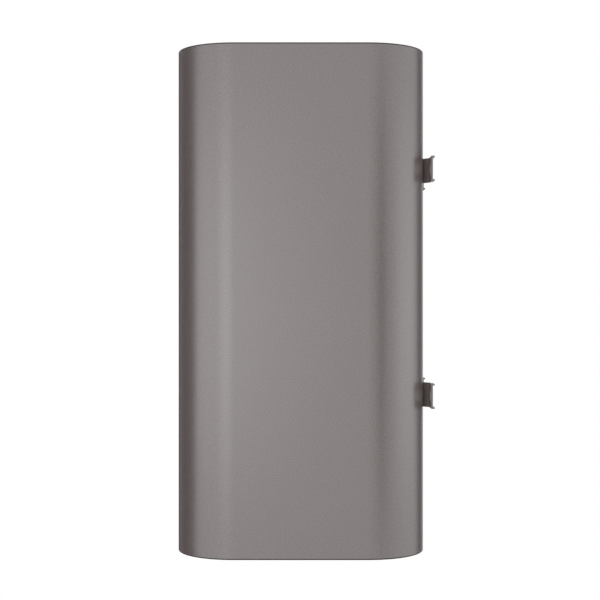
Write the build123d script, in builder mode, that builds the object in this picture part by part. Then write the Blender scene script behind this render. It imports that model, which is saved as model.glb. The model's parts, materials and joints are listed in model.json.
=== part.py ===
from build123d import *

import os
from math import atan2, degrees, pi, radians, sqrt, tan

# A flat storage water heater that hangs on a wall, with two tanks side by side. Millimetres, +Z up.
# The front faces -Y and the wall is on the +Y side. The origin is the middle of the four outer
# hook holes, in the wall-side face of the bracket wings.

# Clearances
piece_gap = 0.3
close_gap = 0.15
overrun = 4.0

# Casing
body_width = 493.0
body_depth = 280.0
body_height = 570.0
corner_radius = 66.0
wrap_sheet = 1.0
rim_flange = 5.0
rim_radius = 1.6
seam_width = 10.0
seam_proud = 0.9
cap_recess = 6.0
cap_sheet = 1.0

# Wall brackets
bracket_sheet = 1.8
bracket_height = 28.1
bracket_length = 139.4
bracket_base = 69.4
bracket_from_middle = 142.8
bracket_bend = 1.5
riser_run = 9.0
wing_gap = 6.9
lip_depth = 2.1
lip_length = 20.5
hook_hole_radius = 7.5
hook_hole_from_tip = 11.5
hook_spacing_z = 257.0
hook_middle_height = 306.3
bracket_screw_pitch = 20.0
bracket_screw_radius = 3.0
bracket_head_across = 10.0
bracket_head_height = 4.0
bracket_screw_end = 1.5

# Hanger rails behind the casing's back sheet
rail_sheet = 2.5
rail_height = 50.0
rail_length = 360.0
rail_from_axis = 100.0
rail_nut_height = 5.0

# Tanks
tank_radius = 110.0
tank_wall = 1.2
tank_spacing = 234.0
tank_low = 92.0
tank_height = 440.0
crown_radius = 270.0
knuckle_radius = 16.0

# Flange necks, one under each tank
neck_forward = 25.0
neck_radius = 45.0
neck_bore = 31.0
neck_low = 84.0
gasket_thickness = 2.0
flange_thickness = 3.0
flange_bolt_ring_radius = 38.0
flange_bolt_count = 6
flange_bolt_radius = 2.9
flange_bolt_engaged = 7.0
flange_head_across = 10.0
flange_head_height = 4.0

# Heating elements, anodes and thermowells, placed from the middle of their flange
element_tube = 4.0
element_width = 24.0
element_forward = 8.0
element_height = 250.0
element_below = 11.0
element_pin_radius = 1.6
element_pin_length = 8.0
element_blade_length = 8.0
anode_radius = 10.5
anode_length = 200.0
anode_behind = 15.0
anode_stud_radius = 2.5
anode_stud_length = 13.0
anode_nut_across = 8.0
anode_nut_height = 4.0
well_radius = 4.0
well_bore = 3.1
well_height = 180.0
well_forward = 14.0
well_end = 1.5

# Water pipes
pipe_radius = 10.65
thread_radius = 10.48
pipe_bore = 7.5
nipple_below = 14.0
thread_length = 15.0
groove_length = 2.0
groove_depth = 1.2
thread_chamfer = 1.0
nipple_spacing = 100.0
nipple_behind = 55.0
nipple_inside = 36.0
diffuser_wall = 2.0
diffuser_overlap = 12.0
diffuser_rise = 6.0
diffuser_slot = 3.0
riser_bore = 6.0
riser_fitted = 12.0
riser_from_top = 24.0
transfer_tube = 7.0
transfer_bore = 6.0
transfer_bend = 14.0
transfer_behind = 30.0
transfer_rise = 16.0
transfer_intake = 26.0
transfer_foot = 40.0
ring_radius = 17.0
ring_height = 3.5
ring_collar = 2.0
ring_above = 1.0

# Electrics bay under the tanks
insulation_low = 88.0
opening_width = 344.0
opening_front = 104.0
opening_rear = 24.0
opening_corner = 12.0
cover_margin = 10.0
cover_depth = 5.0
cover_wall = 2.5
cover_corner = 14.0
cover_screw_radius = 1.9
cover_screw_inset = 8.0
cover_screw_length = 10.0
cover_boss_radius = 4.6

# Electronics tray and what it carries
tray_width = 116.0
tray_level = 22.0
tray_sheet = 2.5
tray_foot_width = 12.0
tray_foot_depth = 7.0
ear_width = 42.0
ear_depth = 38.0
ear_hole_radius = 6.0
board_sheet = 1.6
board_width = 110.0
board_depth = 108.0
board_forward = 42.0
board_screw_inset = 5.0
board_post_radius = 3.4
board_post_height = 5.0
small_screw_radius = 1.4
small_head_radius = 2.8
small_head_height = 1.8
small_screw_engaged = 4.0
tray_screw_length = 10.0
relay_width = 19.0
relay_depth = 15.0
relay_height = 15.5
relay_from_middle = 30.0
relay_behind = 22.0
transformer_width = 33.0
transformer_depth = 28.0
transformer_height = 25.0
transformer_forward = 28.0
capacitor_radius = 7.0
capacitor_height = 20.0
capacitor_from_middle = 34.0
capacitor_forward = 33.0
connector_depth = 9.0
connector_width = 30.0
connector_height = 10.0
connector_pitch = 10.0
connector_edge = 1.0
mains_connector_forward = 5.0
element_connector_behind = 27.0
sensor_connector_forward = 28.0
ribbon_header_from_middle = 35.0
ribbon_header_width = 16.0
ribbon_header_depth = 6.0
ribbon_header_height = 6.0
ribbon_header_forward = 49.0

# Thermal cut-out
cutout_width = 32.0
cutout_depth = 26.0
cutout_height = 25.0
cutout_from_middle = 79.0
cutout_from_front = 47.7
blade_width = 6.3
blade_sheet = 0.8
blade_length = 8.0
blade_pitch = 18.0
blade_rise = 11.0
reset_radius = 3.0
reset_showing = 3.0
reset_inside = 7.0
reset_travel = 2.0
reset_bore_spare = 1.0
capillary_radius = 0.8
bulb_radius = 2.6
bulb_length = 60.0
bulb_low = 100.0
probe_length = 30.0

# Mains entry
terminal_width = 54.0
terminal_depth = 18.0
terminal_height = 20.0
terminal_from_middle = 112.0
terminal_behind = 54.0
terminal_pitch = 15.0
terminal_mouth_radius = 1.9
terminal_screw_well = 6.0
terminal_screw_inset = 3.0
earth_from_middle = 158.0
earth_stud_radius = 2.0
earth_stud_height = 20.0
earth_head_radius = 4.0
earth_head_height = 2.0
earth_nut_across = 7.0
earth_nut_height = 3.0
earth_lug_radius = 4.2
earth_lug_sheet = 0.8
earth_lug_width = 3.4
earth_lug_reach = 9.0
gland_thread = 8.0
gland_bore = 5.0
gland_across = 22.0
gland_flange = 4.0
gland_above = 12.0
gland_below = 10.0
gland_nut_radius = 10.5
gland_nut_height = 13.0
gland_nut_floor = 3.0
gland_mouth = 4.6
seal_bore = 3.75
seal_radius = 6.0
seal_height = 8.0
locknut_height = 4.0

# Control panel, low on the front
panel_width = 330.0
panel_height = 58.0
panel_low = 28.0
panel_proud = 1.7
panel_corner = 4.0
panel_rim = 2.5
panel_edge_radius = 0.6
fascia_sheet = 1.0
window_margin = 7.0
frame_wall = 2.0
frame_front = 1.3
frame_depth = 16.0
frame_tab_width = 12.0
frame_tab_height = 1.5
frame_tab_depth = 2.0
frame_tab_from_middle = 100.0
panel_back_sheet = 1.5
display_width = 46.0
display_height = 24.0
display_flange = 2.0
display_flange_sheet = 0.7
module_width = 38.0
module_height = 20.0
panel_board_depth = 9.0
panel_board_width = 240.0
panel_board_height = 36.0
panel_boss_radius = 4.0
panel_boss_from_middle = 113.0
panel_boss_rise = 12.0
key_radius = 7.0
key_proud = 0.3
key_edge_radius = 0.5
key_collar = 2.0
key_collar_sheet = 1.2
key_stem_radius = 1.7
key_stem_entry = 0.9
key_near = 62.0
key_far = 96.0
switch_width = 6.4
switch_height = 3.5
switch_bore_depth = 2.6
lens_radius = 1.6
lens_from_middle = 34.0
lens_pitch = 8.0
ribbon_width = 12.0
ribbon_sheet = 0.8
ribbon_bend = 8.0

# Wires
wire_radius = 1.3
sensor_wire_radius = 1.0
wire_end = 4.0
brown_lane = 18.0
blue_lane = 24.0
mouth_run = 13.0
climb_run = 22.0
bend_reach = 9.0
lead_drop = 17.0
run_share = 0.45

# Places worked out from the sizes above
back_y = -(wing_gap + bracket_sheet)
middle_y = back_y - body_depth / 2
front_y = back_y - body_depth
rail_depth = body_depth / 2 - rail_from_axis
cutout_forward = body_depth / 2 - cutout_from_front
low_z = -hook_middle_height
wrap_inside_y = back_y - wrap_sheet
skirt_inset = wrap_sheet + piece_gap
cap_inside = cap_recess + cap_sheet
cap_top = body_height - cap_inside
neck_y = middle_y - neck_forward
flange_top = neck_low - gasket_thickness
flange_low = flange_top - flange_thickness
tank_top = tank_low + tank_height
nipple_y = middle_y + nipple_behind
tray_top = tray_level + tray_sheet
tray_front = opening_front + tray_foot_depth + piece_gap
tray_rear = opening_rear + tray_foot_depth + piece_gap
board_level = tray_top + board_post_height
board_top = board_level + board_sheet
board_y = middle_y - board_forward
panel_z = low_z + panel_low + panel_height / 2
window_width = panel_width - 2 * window_margin
window_height = panel_height - 2 * window_margin
sides = {"right": 1, "left": -1}


def level(height):
    """The horizontal plane at this height above the casing's lower rim."""
    return Plane.XY.offset(low_z + height)


def facing_front(y):
    """The upright plane at this y, on which sketches read X and Z and grow towards the front."""
    return Plane.XZ.offset(-y)


def upright(x, y):
    """The upright plane through a vertical axis, reading distance from the axis and height."""
    return Plane(origin=(x, y, low_z), x_dir=(1, 0, 0), z_dir=(0, -1, 0))


def casing_plan(inset):
    """The casing's rounded plan, drawn in by an inset, in the open sketch."""
    with Locations((0, middle_y)):
        RectangleRounded(body_width - 2 * inset, body_depth - 2 * inset, corner_radius - inset)


def hexagon(across):
    """A hexagon of this size across its flats, in the open sketch."""
    RegularPolygon(across / 2, 6, major_radius=False)


def keep(name, piece):
    """Labels a finished piece and writes its STEP file."""
    piece.part.label = name
    export_step(piece.part, f"parts/{name}.step")


def wire_radii(points):
    """The largest arc radius that each corner of a route allows."""
    radii = []
    for before, corner, after in zip(points, points[1:], points[2:]):
        run_in = Vector(*corner) - Vector(*before)
        run_out = Vector(*after) - Vector(*corner)
        half_turn = radians(run_in.get_angle(run_out)) / 2
        radii.append(run_share * min(run_in.length, run_out.length) / tan(half_turn))
    return radii


def report_wire(name, points, volume, radius, route):
    """Prints a wire's arc radii and how its volume compares with its section times its length."""
    radii = ", ".join(f"{value:.1f}" for value in wire_radii(points))
    length = sum(edge.length for edge in route.edges())
    share = volume / (pi * radius**2 * length)
    print(f"{name}: radii {radii} mm, volume over section times length {share:.4f}")


def placed(points):
    """Route points given from the casing's middle and lower rim, as points in the shared frame."""
    return [(x, middle_y + y, low_z + height) for x, y, height in points]


os.makedirs("parts", exist_ok=True)

hook_z = {"upper": hook_spacing_z / 2, "lower": -hook_spacing_z / 2}
bracket_screw_places = [
    (side * bracket_from_middle + offset * bracket_screw_pitch / 2, z)
    for side in sides.values()
    for offset in (-1, 1)
    for z in hook_z.values()
]

# Casing wrap: one bent sheet, its ends turned in as rims, closed by a lock seam down the back
with BuildPart() as casing_wrap:
    with BuildSketch(level(0)):
        casing_plan(0)
    extrude(amount=body_height)
    end_faces = faces().sort_by(Axis.Z)
    fillet(end_faces[0].edges() + end_faces[-1].edges(), rim_radius)
    with BuildSketch(facing_front(back_y + seam_proud)):
        with Locations((0, low_z + body_height / 2)):
            Rectangle(seam_width, body_height - 2 * rim_radius)
    extrude(amount=seam_proud + wrap_sheet / 2)
    with BuildSketch(level(wrap_sheet)):
        casing_plan(wrap_sheet)
    extrude(amount=body_height - 2 * wrap_sheet, mode=Mode.SUBTRACT)
    with BuildSketch(level(-overrun)):
        casing_plan(rim_flange)
    extrude(amount=body_height + 2 * overrun, mode=Mode.SUBTRACT)
    with BuildSketch(facing_front(front_y + wrap_sheet + overrun)):
        with Locations((0, panel_z)):
            RectangleRounded(window_width, window_height, panel_corner)
    extrude(amount=wrap_sheet + 2 * overrun, mode=Mode.SUBTRACT)
    with BuildSketch(facing_front(back_y + overrun)):
        with Locations(*bracket_screw_places):
            Circle(bracket_screw_radius + piece_gap)
    extrude(amount=wrap_sheet + 2 * overrun, mode=Mode.SUBTRACT)
keep("casing_wrap", casing_wrap)

# End caps: shallow pressed pans, their skirts standing on the wrap's turned-in rims
with BuildPart() as top_cap:
    with BuildSketch(level(cap_top)):
        casing_plan(skirt_inset)
    extrude(amount=cap_inside - wrap_sheet)
    with BuildSketch(level(cap_top + cap_sheet)):
        casing_plan(skirt_inset + cap_sheet)
    extrude(amount=cap_recess, mode=Mode.SUBTRACT)
keep("top_cap", top_cap)

cover_y = middle_y + (opening_rear - opening_front) / 2
cover_width = opening_width + 2 * cover_margin
cover_size_y = opening_front + opening_rear + 2 * cover_margin
cover_screws_x = cover_width - 2 * cover_screw_inset
cover_screws_y = cover_size_y - 2 * cover_screw_inset
tray_feet = [
    (side * (tray_width - tray_foot_width) / 2, middle_y + y)
    for side in sides.values()
    for y in (tray_rear - tray_foot_depth / 2, tray_foot_depth / 2 - tray_front)
]
terminal_y = middle_y + terminal_behind
terminal_screws = [
    (terminal_from_middle + side * (terminal_width / 2 - terminal_screw_inset), terminal_y)
    for side in sides.values()
]
nipple_places = [(side * nipple_spacing / 2, nipple_y) for side in sides.values()]
collar_radius = pipe_radius + piece_gap + ring_collar
with BuildPart() as bottom_cap:
    with BuildSketch(level(wrap_sheet)):
        casing_plan(skirt_inset)
    extrude(amount=cap_inside - wrap_sheet)
    with BuildSketch(level(wrap_sheet)):
        casing_plan(skirt_inset + cap_sheet)
    extrude(amount=cap_recess - wrap_sheet, mode=Mode.SUBTRACT)
    with BuildSketch(level(cap_recess)):
        with Locations((0, cover_y)):
            RectangleRounded(opening_width, opening_front + opening_rear, opening_corner)
        with Locations(*nipple_places):
            Circle(collar_radius + piece_gap)
        with Locations((0, nipple_y)):
            Circle(gland_thread + piece_gap)
        with Locations((earth_from_middle, terminal_y)):
            Circle(earth_stud_radius + piece_gap)
        with Locations((0, cover_y)), GridLocations(cover_screws_x, cover_screws_y, 2, 2):
            Circle(cover_screw_radius + close_gap)
        with Locations(*tray_feet, *terminal_screws):
            Circle(small_screw_radius + close_gap)
    extrude(amount=cap_sheet, mode=Mode.SUBTRACT)
keep("bottom_cap", bottom_cap)

# Service cover: a shallow plastic tub over the electrics opening, with a sunk screw at each corner
cover_low = cap_recess - cover_depth
with BuildPart() as service_cover:
    with BuildSketch(level(cover_low)):
        with Locations((0, cover_y)):
            RectangleRounded(cover_width, cover_size_y, cover_corner)
    extrude(amount=cover_depth)
    fillet(faces().sort_by(Axis.Z)[0].edges(), cover_wall / 2)
    with BuildSketch(level(cover_low + cover_wall)):
        with Locations((0, cover_y)):
            RectangleRounded(
                cover_width - 2 * cover_wall, cover_size_y - 2 * cover_wall, cover_corner - cover_wall
            )
    extrude(amount=cover_depth - cover_wall, mode=Mode.SUBTRACT)
    with BuildSketch(level(cover_low + cover_wall / 2)):
        with Locations((0, cover_y)), GridLocations(cover_screws_x, cover_screws_y, 2, 2):
            Circle(cover_boss_radius)
    extrude(amount=cover_depth - cover_wall / 2)
    with BuildSketch(level(cover_low)):
        with Locations((0, cover_y)), GridLocations(cover_screws_x, cover_screws_y, 2, 2):
            Circle(cover_screw_radius + close_gap)
    extrude(amount=cover_depth, mode=Mode.SUBTRACT)
    with BuildSketch(level(cover_low)):
        with Locations((0, cover_y)), GridLocations(cover_screws_x, cover_screws_y, 2, 2):
            Circle(cover_boss_radius - cover_wall / 2)
    extrude(amount=cover_wall, mode=Mode.SUBTRACT)
keep("service_cover", service_cover)

cover_head_radius = cover_boss_radius - cover_wall / 2 - piece_gap
cover_head_height = cover_wall * 3 / 4
cover_head_level = cover_low + cover_wall
with BuildPart() as service_cover_screws:
    with BuildSketch(level(cover_head_level - cover_head_height)):
        with Locations((0, cover_y)), GridLocations(cover_screws_x, cover_screws_y, 2, 2):
            Circle(cover_head_radius)
    extrude(amount=cover_head_height)
    with BuildSketch(level(cover_head_level)):
        with Locations((0, cover_y)), GridLocations(cover_screws_x, cover_screws_y, 2, 2):
            Circle(cover_screw_radius)
    extrude(amount=cover_screw_length)
    with BuildSketch(level(cover_head_level - cover_head_height)):
        with Locations((0, cover_y)), GridLocations(cover_screws_x, cover_screws_y, 2, 2):
            Rectangle(cover_head_radius, cover_screw_radius / 3)
            Rectangle(cover_screw_radius / 3, cover_head_radius)
    extrude(amount=cover_head_height / 2, mode=Mode.SUBTRACT)
keep("service_cover_screws", service_cover_screws)

# Wall brackets: a base strip on the casing's back, a riser and a wing at each end, and a lip along
# the top and bottom edges of each wing. A wall hook goes through the hole and up behind the wing.
half_base = bracket_base / 2
half_bracket = bracket_length / 2
wing_start = half_base + riser_run
wing_face = wing_gap + bracket_sheet
hook_hole_x = half_bracket - hook_hole_from_tip
bend_shift = bracket_sheet * tan(atan2(wing_gap, riser_run) / 2)
bracket_outline = [
    (half_base, 0),
    (wing_start, wing_gap),
    (half_bracket, wing_gap),
    (half_bracket, wing_face),
    (wing_start - bend_shift, wing_face),
    (half_base - bend_shift, bracket_sheet),
    (bend_shift - half_base, bracket_sheet),
    (bend_shift - wing_start, wing_face),
    (-half_bracket, wing_face),
    (-half_bracket, wing_gap),
    (-wing_start, wing_gap),
    (-half_base, 0),
]
for height_name, hook_height in hook_z.items():
    for side_name, side in sides.items():
        centre_x = side * bracket_from_middle
        with BuildPart() as bracket:
            with BuildSketch(Plane.XY.offset(hook_height - bracket_height / 2)) as profile:
                with BuildLine():
                    Polyline(*[(centre_x + x, back_y + y) for x, y in bracket_outline], close=True)
                make_face()
                bent_within = wing_start + riser_run
                bends = [corner for corner in profile.vertices() if abs(corner.X - centre_x) < bent_within]
                fillet(bends, bracket_bend)
            extrude(amount=bracket_height)
            with BuildSketch(facing_front(lip_depth)):
                with Locations((centre_x, hook_height)):
                    with GridLocations(bracket_length - lip_length, bracket_height - bracket_sheet, 2, 2):
                        Rectangle(lip_length, bracket_sheet)
            extrude(amount=lip_depth + bracket_sheet / 2)
            with BuildSketch(facing_front(lip_depth)):
                with Locations((centre_x, hook_height)):
                    with GridLocations(2 * hook_hole_x, bracket_height, 2, 1):
                        Circle(hook_hole_radius)
            extrude(amount=lip_depth + bracket_sheet + wing_gap / 2, mode=Mode.SUBTRACT)
            with BuildSketch(facing_front(back_y + bracket_sheet)):
                with Locations((centre_x, hook_height)):
                    with GridLocations(bracket_screw_pitch, bracket_height, 2, 1):
                        Circle(bracket_screw_radius + piece_gap)
            extrude(amount=bracket_sheet, mode=Mode.SUBTRACT)
        keep(f"bracket_{height_name}_{side_name}", bracket)

bracket_face_y = back_y + bracket_sheet
rail_face_y = wrap_inside_y - rail_sheet
with BuildPart() as bracket_screws:
    with BuildSketch(facing_front(bracket_face_y + bracket_head_height)):
        with Locations(*bracket_screw_places):
            hexagon(bracket_head_across)
    extrude(amount=bracket_head_height)
    with BuildSketch(facing_front(bracket_face_y)):
        with Locations(*bracket_screw_places):
            Circle(bracket_screw_radius)
    extrude(amount=bracket_face_y - rail_face_y + rail_nut_height + bracket_screw_end)
keep("bracket_screws", bracket_screws)

with BuildPart() as rail_nuts:
    with BuildSketch(facing_front(rail_face_y)):
        with Locations(*bracket_screw_places):
            hexagon(bracket_head_across)
            Circle(bracket_screw_radius + close_gap, mode=Mode.SUBTRACT)
    extrude(amount=rail_nut_height)
keep("rail_nuts", rail_nuts)

# Hanger rails: a channel at each pair of brackets, its flanges cut to the curve of the tanks
half_spacing = tank_spacing / 2
tank_places = [(side * half_spacing, middle_y) for side in sides.values()]
with BuildPart() as hanger_rails:
    for hook_height in hook_z.values():
        rail_low = hook_height - rail_height / 2
        with BuildSketch(Plane.XY.offset(rail_low)):
            with Locations((0, wrap_inside_y - rail_depth / 2)):
                Rectangle(rail_length, rail_depth)
        extrude(amount=rail_height)
        with BuildSketch(Plane.XY.offset(rail_low + rail_sheet)):
            with Locations((0, rail_face_y - rail_depth / 2)):
                Rectangle(rail_length, rail_depth)
        extrude(amount=rail_height - 2 * rail_sheet, mode=Mode.SUBTRACT)
        with BuildSketch(Plane.XY.offset(rail_low)):
            with Locations(*tank_places):
                Circle(tank_radius + piece_gap)
        extrude(amount=rail_height, mode=Mode.SUBTRACT)
    with BuildSketch(facing_front(wrap_inside_y)):
        with Locations(*bracket_screw_places):
            Circle(bracket_screw_radius + piece_gap)
    extrude(amount=rail_sheet, mode=Mode.SUBTRACT)
keep("hanger_rails", hanger_rails)

# Tanks: a cylinder between two dished heads, with a neck welded under the lower head
crown_centre = tank_low + crown_radius
knuckle_run = tank_radius - knuckle_radius
knuckle_low = crown_centre - sqrt((crown_radius - knuckle_radius) ** 2 - knuckle_run**2)
crown_angle = degrees(atan2(knuckle_low - crown_centre, knuckle_run))
pole_angle = degrees(atan2(-crown_radius, 0))
tank_middle = tank_low + tank_height / 2


def tank_outline(inset):
    """Half of a tank's outline, drawn in by an inset, in the open line."""
    high_crown_centre = (0, 2 * tank_middle - crown_centre)
    high_knuckle_centre = (knuckle_run, 2 * tank_middle - knuckle_low)
    low_crown = CenterArc((0, crown_centre), crown_radius - inset, pole_angle, crown_angle - pole_angle)
    low_knuckle = CenterArc((knuckle_run, knuckle_low), knuckle_radius - inset, crown_angle, -crown_angle)
    high_knuckle = CenterArc(high_knuckle_centre, knuckle_radius - inset, 0, -crown_angle)
    high_crown = CenterArc(high_crown_centre, crown_radius - inset, -crown_angle, crown_angle - pole_angle)
    Line(low_knuckle @ 1, high_knuckle @ 0)
    Line(high_crown @ 1, low_crown @ 0)


neck_reach = crown_radius - sqrt(crown_radius**2 - (neck_radius + neck_forward) ** 2) + tank_low - neck_low
nipple_top = tank_low + nipple_inside
for side_name, side in sides.items():
    tank_x = side * half_spacing
    tank_axis = Axis((tank_x, middle_y, 0), (0, 0, 1))
    with BuildPart() as tank:
        with BuildSketch(upright(tank_x, middle_y)):
            with BuildLine():
                tank_outline(0)
            make_face()
        revolve(axis=tank_axis)
        with BuildSketch(level(neck_low)):
            with Locations((tank_x, neck_y)):
                Circle(neck_radius)
        extrude(amount=neck_reach)
        with BuildSketch(upright(tank_x, middle_y)):
            with BuildLine():
                tank_outline(tank_wall)
            make_face()
        revolve(axis=tank_axis, mode=Mode.SUBTRACT)
        with BuildSketch(level(neck_low)):
            with Locations((tank_x, neck_y)):
                Circle(neck_bore)
        extrude(amount=neck_reach, mode=Mode.SUBTRACT)
        with BuildSketch(level(neck_low)):
            with Locations((tank_x, neck_y)):
                with PolarLocations(flange_bolt_ring_radius, flange_bolt_count, start_angle=90):
                    Circle(flange_bolt_radius + piece_gap)
        extrude(amount=flange_bolt_engaged + close_gap, mode=Mode.SUBTRACT)
        with BuildSketch(level(tank_low)):
            with Locations((side * nipple_spacing / 2, nipple_y)):
                Circle(pipe_radius + piece_gap)
        extrude(amount=nipple_inside, mode=Mode.SUBTRACT)
        with BuildSketch(level(tank_top - transfer_intake)):
            with Locations((tank_x, middle_y + transfer_behind)):
                Circle(transfer_tube + piece_gap)
        extrude(amount=transfer_intake, mode=Mode.SUBTRACT)
    keep(f"tank_{side_name}", tank)

# Inner pipes: the transfer pipe from the top of the cold tank over to the bottom of the hot one,
# and the riser that is pressed into the outlet nipple and draws from the top of the hot tank
transfer_top = tank_top + transfer_rise
transfer_points = placed([
    (half_spacing, transfer_behind, tank_top - transfer_intake),
    (half_spacing, transfer_behind, transfer_top),
    (-half_spacing, transfer_behind, transfer_top),
    (-half_spacing, transfer_behind, tank_low + transfer_foot),
])
cold_place, hot_place = nipple_places
riser_low = nipple_top - riser_fitted
with BuildPart() as inner_pipes:
    with BuildLine() as transfer_route:
        FilletPolyline(*transfer_points, radius=transfer_bend)
    with BuildSketch(level(tank_top - transfer_intake)):
        with Locations((half_spacing, middle_y + transfer_behind)):
            Circle(transfer_tube)
            Circle(transfer_bore, mode=Mode.SUBTRACT)
    sweep(path=transfer_route.line)
    with BuildSketch(level(riser_low)):
        with Locations(hot_place):
            Circle(pipe_bore - close_gap)
            Circle(riser_bore, mode=Mode.SUBTRACT)
    extrude(amount=tank_top - riser_from_top - riser_low)
keep("inner_pipes", inner_pipes)

# Inlet and outlet: threaded nipples welded into the lower heads, with coloured rings at the cap
thread_top = thread_length - nipple_below
groove_top = thread_top + groove_length
groove_radius = thread_radius - groove_depth
nipple_outline = [
    (pipe_bore, -nipple_below),
    (thread_radius - thread_chamfer, -nipple_below),
    (thread_radius, thread_chamfer - nipple_below),
    (thread_radius, thread_top),
    (groove_radius, thread_top),
    (groove_radius, groove_top),
    (pipe_radius, groove_top),
    (pipe_radius, nipple_top),
    (pipe_bore, nipple_top),
]
for nipple_name, place in (("cold_inlet", cold_place), ("hot_outlet", hot_place)):
    with BuildPart() as nipple:
        with BuildSketch(upright(*place)):
            with BuildLine():
                Polyline(*nipple_outline, close=True)
            make_face()
        revolve(axis=Axis((*place, 0), (0, 0, 1)))
    keep(nipple_name, nipple)

diffuser_low = nipple_top - diffuser_overlap
diffuser_length = diffuser_overlap + diffuser_rise
diffuser_radius = pipe_radius + piece_gap + diffuser_wall
with BuildPart() as inlet_diffuser:
    with BuildSketch(level(diffuser_low)):
        with Locations(cold_place):
            Circle(diffuser_radius)
    extrude(amount=diffuser_length)
    with BuildSketch(level(diffuser_low)):
        with Locations(cold_place):
            Circle(pipe_radius + piece_gap)
    extrude(amount=diffuser_length - diffuser_wall, mode=Mode.SUBTRACT)
    with BuildSketch(level(nipple_top + (diffuser_rise - diffuser_wall - diffuser_slot) / 2)):
        with Locations(cold_place):
            Rectangle(2 * diffuser_radius, pipe_radius)
            Rectangle(pipe_radius, 2 * diffuser_radius)
    extrude(amount=diffuser_slot, mode=Mode.SUBTRACT)
keep("inlet_diffuser", inlet_diffuser)

for ring_name, ring_place in {"cold_ring": cold_place, "hot_ring": hot_place}.items():
    with BuildPart() as ring:
        with BuildSketch(level(cap_recess - ring_height)):
            with Locations(ring_place):
                Circle(ring_radius)
        extrude(amount=ring_height)
        fillet(faces().sort_by(Axis.Z)[0].edges(), ring_above)
        with BuildSketch(level(cap_recess)):
            with Locations(ring_place):
                Circle(collar_radius)
        extrude(amount=cap_sheet + ring_above)
        with BuildSketch(level(cap_recess - ring_height)):
            with Locations(ring_place):
                Circle(pipe_radius + piece_gap)
        extrude(amount=ring_height + cap_sheet + ring_above, mode=Mode.SUBTRACT)
    keep(ring_name, ring)

# Flanges: a steel plate bolted under each neck, carrying the element, the anode and the thermowell
element_y = neck_y - element_forward
anode_y = neck_y + anode_behind
well_y = neck_y - well_forward
neck_places = [(side * half_spacing, neck_y) for side in sides.values()]
anode_places = [(side * half_spacing, anode_y) for side in sides.values()]
well_places = [(side * half_spacing, well_y) for side in sides.values()]
leg_places = [
    (side * half_spacing + leg * element_width / 2, element_y)
    for side in sides.values()
    for leg in (-1, 1)
]
with BuildPart() as flange_plates:
    with BuildSketch(level(flange_low)):
        with Locations(*neck_places):
            Circle(neck_radius)
            with PolarLocations(flange_bolt_ring_radius, flange_bolt_count, start_angle=90):
                Circle(flange_bolt_radius + piece_gap, mode=Mode.SUBTRACT)
        with Locations(*leg_places):
            Circle(element_tube + piece_gap, mode=Mode.SUBTRACT)
        with Locations(*anode_places):
            Circle(anode_stud_radius + piece_gap, mode=Mode.SUBTRACT)
        with Locations(*well_places):
            Circle(well_radius + piece_gap, mode=Mode.SUBTRACT)
    extrude(amount=flange_thickness)
keep("flange_plates", flange_plates)

with BuildPart() as flange_gaskets:
    with BuildSketch(level(flange_top)):
        with Locations(*neck_places):
            Circle(neck_radius)
            Circle(neck_bore, mode=Mode.SUBTRACT)
            with PolarLocations(flange_bolt_ring_radius, flange_bolt_count, start_angle=90):
                Circle(flange_bolt_radius + piece_gap, mode=Mode.SUBTRACT)
    extrude(amount=gasket_thickness)
keep("flange_gaskets", flange_gaskets)

with BuildPart() as flange_bolts:
    with BuildSketch(level(flange_low - flange_head_height)):
        with Locations(*neck_places):
            with PolarLocations(flange_bolt_ring_radius, flange_bolt_count, start_angle=90):
                hexagon(flange_head_across)
    extrude(amount=flange_head_height)
    with BuildSketch(level(flange_low)):
        with Locations(*neck_places):
            with PolarLocations(flange_bolt_ring_radius, flange_bolt_count, start_angle=90):
                Circle(flange_bolt_radius)
    extrude(amount=flange_thickness + gasket_thickness + flange_bolt_engaged)
keep("flange_bolts", flange_bolts)

element_low = flange_low - element_below
element_bend = flange_low + element_height - element_width / 2
pin_low = element_low - element_pin_length
for side_name, side in sides.items():
    element_x = side * half_spacing
    with BuildPart() as element:
        with BuildLine(upright(element_x, element_y)) as hairpin:
            Line((-element_width / 2, element_low), (-element_width / 2, element_bend))
            CenterArc((0, element_bend), element_width / 2, 180, -180)
            Line((element_width / 2, element_bend), (element_width / 2, element_low))
        with BuildSketch(level(element_low)):
            with Locations((element_x - element_width / 2, element_y)):
                Circle(element_tube)
        sweep(path=hairpin.line)
        with BuildSketch(level(element_low)):
            with Locations((element_x, element_y)), GridLocations(element_width, element_width, 2, 1):
                Circle(element_pin_radius)
        extrude(amount=-element_pin_length)
        with BuildSketch(level(pin_low)):
            with Locations((element_x, element_y)), GridLocations(element_width, element_width, 2, 1):
                Rectangle(blade_width, blade_sheet)
        extrude(amount=-element_blade_length)
    keep(f"element_{side_name}", element)

anode_low = flange_top + flange_thickness
with BuildPart() as anodes:
    with BuildSketch(level(anode_low)):
        with Locations(*anode_places):
            Circle(anode_radius)
    extrude(amount=anode_length)
    with BuildSketch(level(anode_low)):
        with Locations(*anode_places):
            Circle(anode_stud_radius)
    extrude(amount=-anode_stud_length)
keep("anodes", anodes)

with BuildPart() as anode_nuts:
    with BuildSketch(level(flange_low - anode_nut_height)):
        with Locations(*anode_places):
            hexagon(anode_nut_across)
            Circle(anode_stud_radius + close_gap, mode=Mode.SUBTRACT)
    extrude(amount=anode_nut_height)
keep("anode_nuts", anode_nuts)

with BuildPart() as thermowells:
    with BuildSketch(level(flange_low)):
        with Locations(*well_places):
            Circle(well_radius)
    extrude(amount=well_height)
    with BuildSketch(level(flange_low)):
        with Locations(*well_places):
            Circle(well_bore)
    extrude(amount=well_height - well_end, mode=Mode.SUBTRACT)
keep("thermowells", thermowells)

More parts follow.
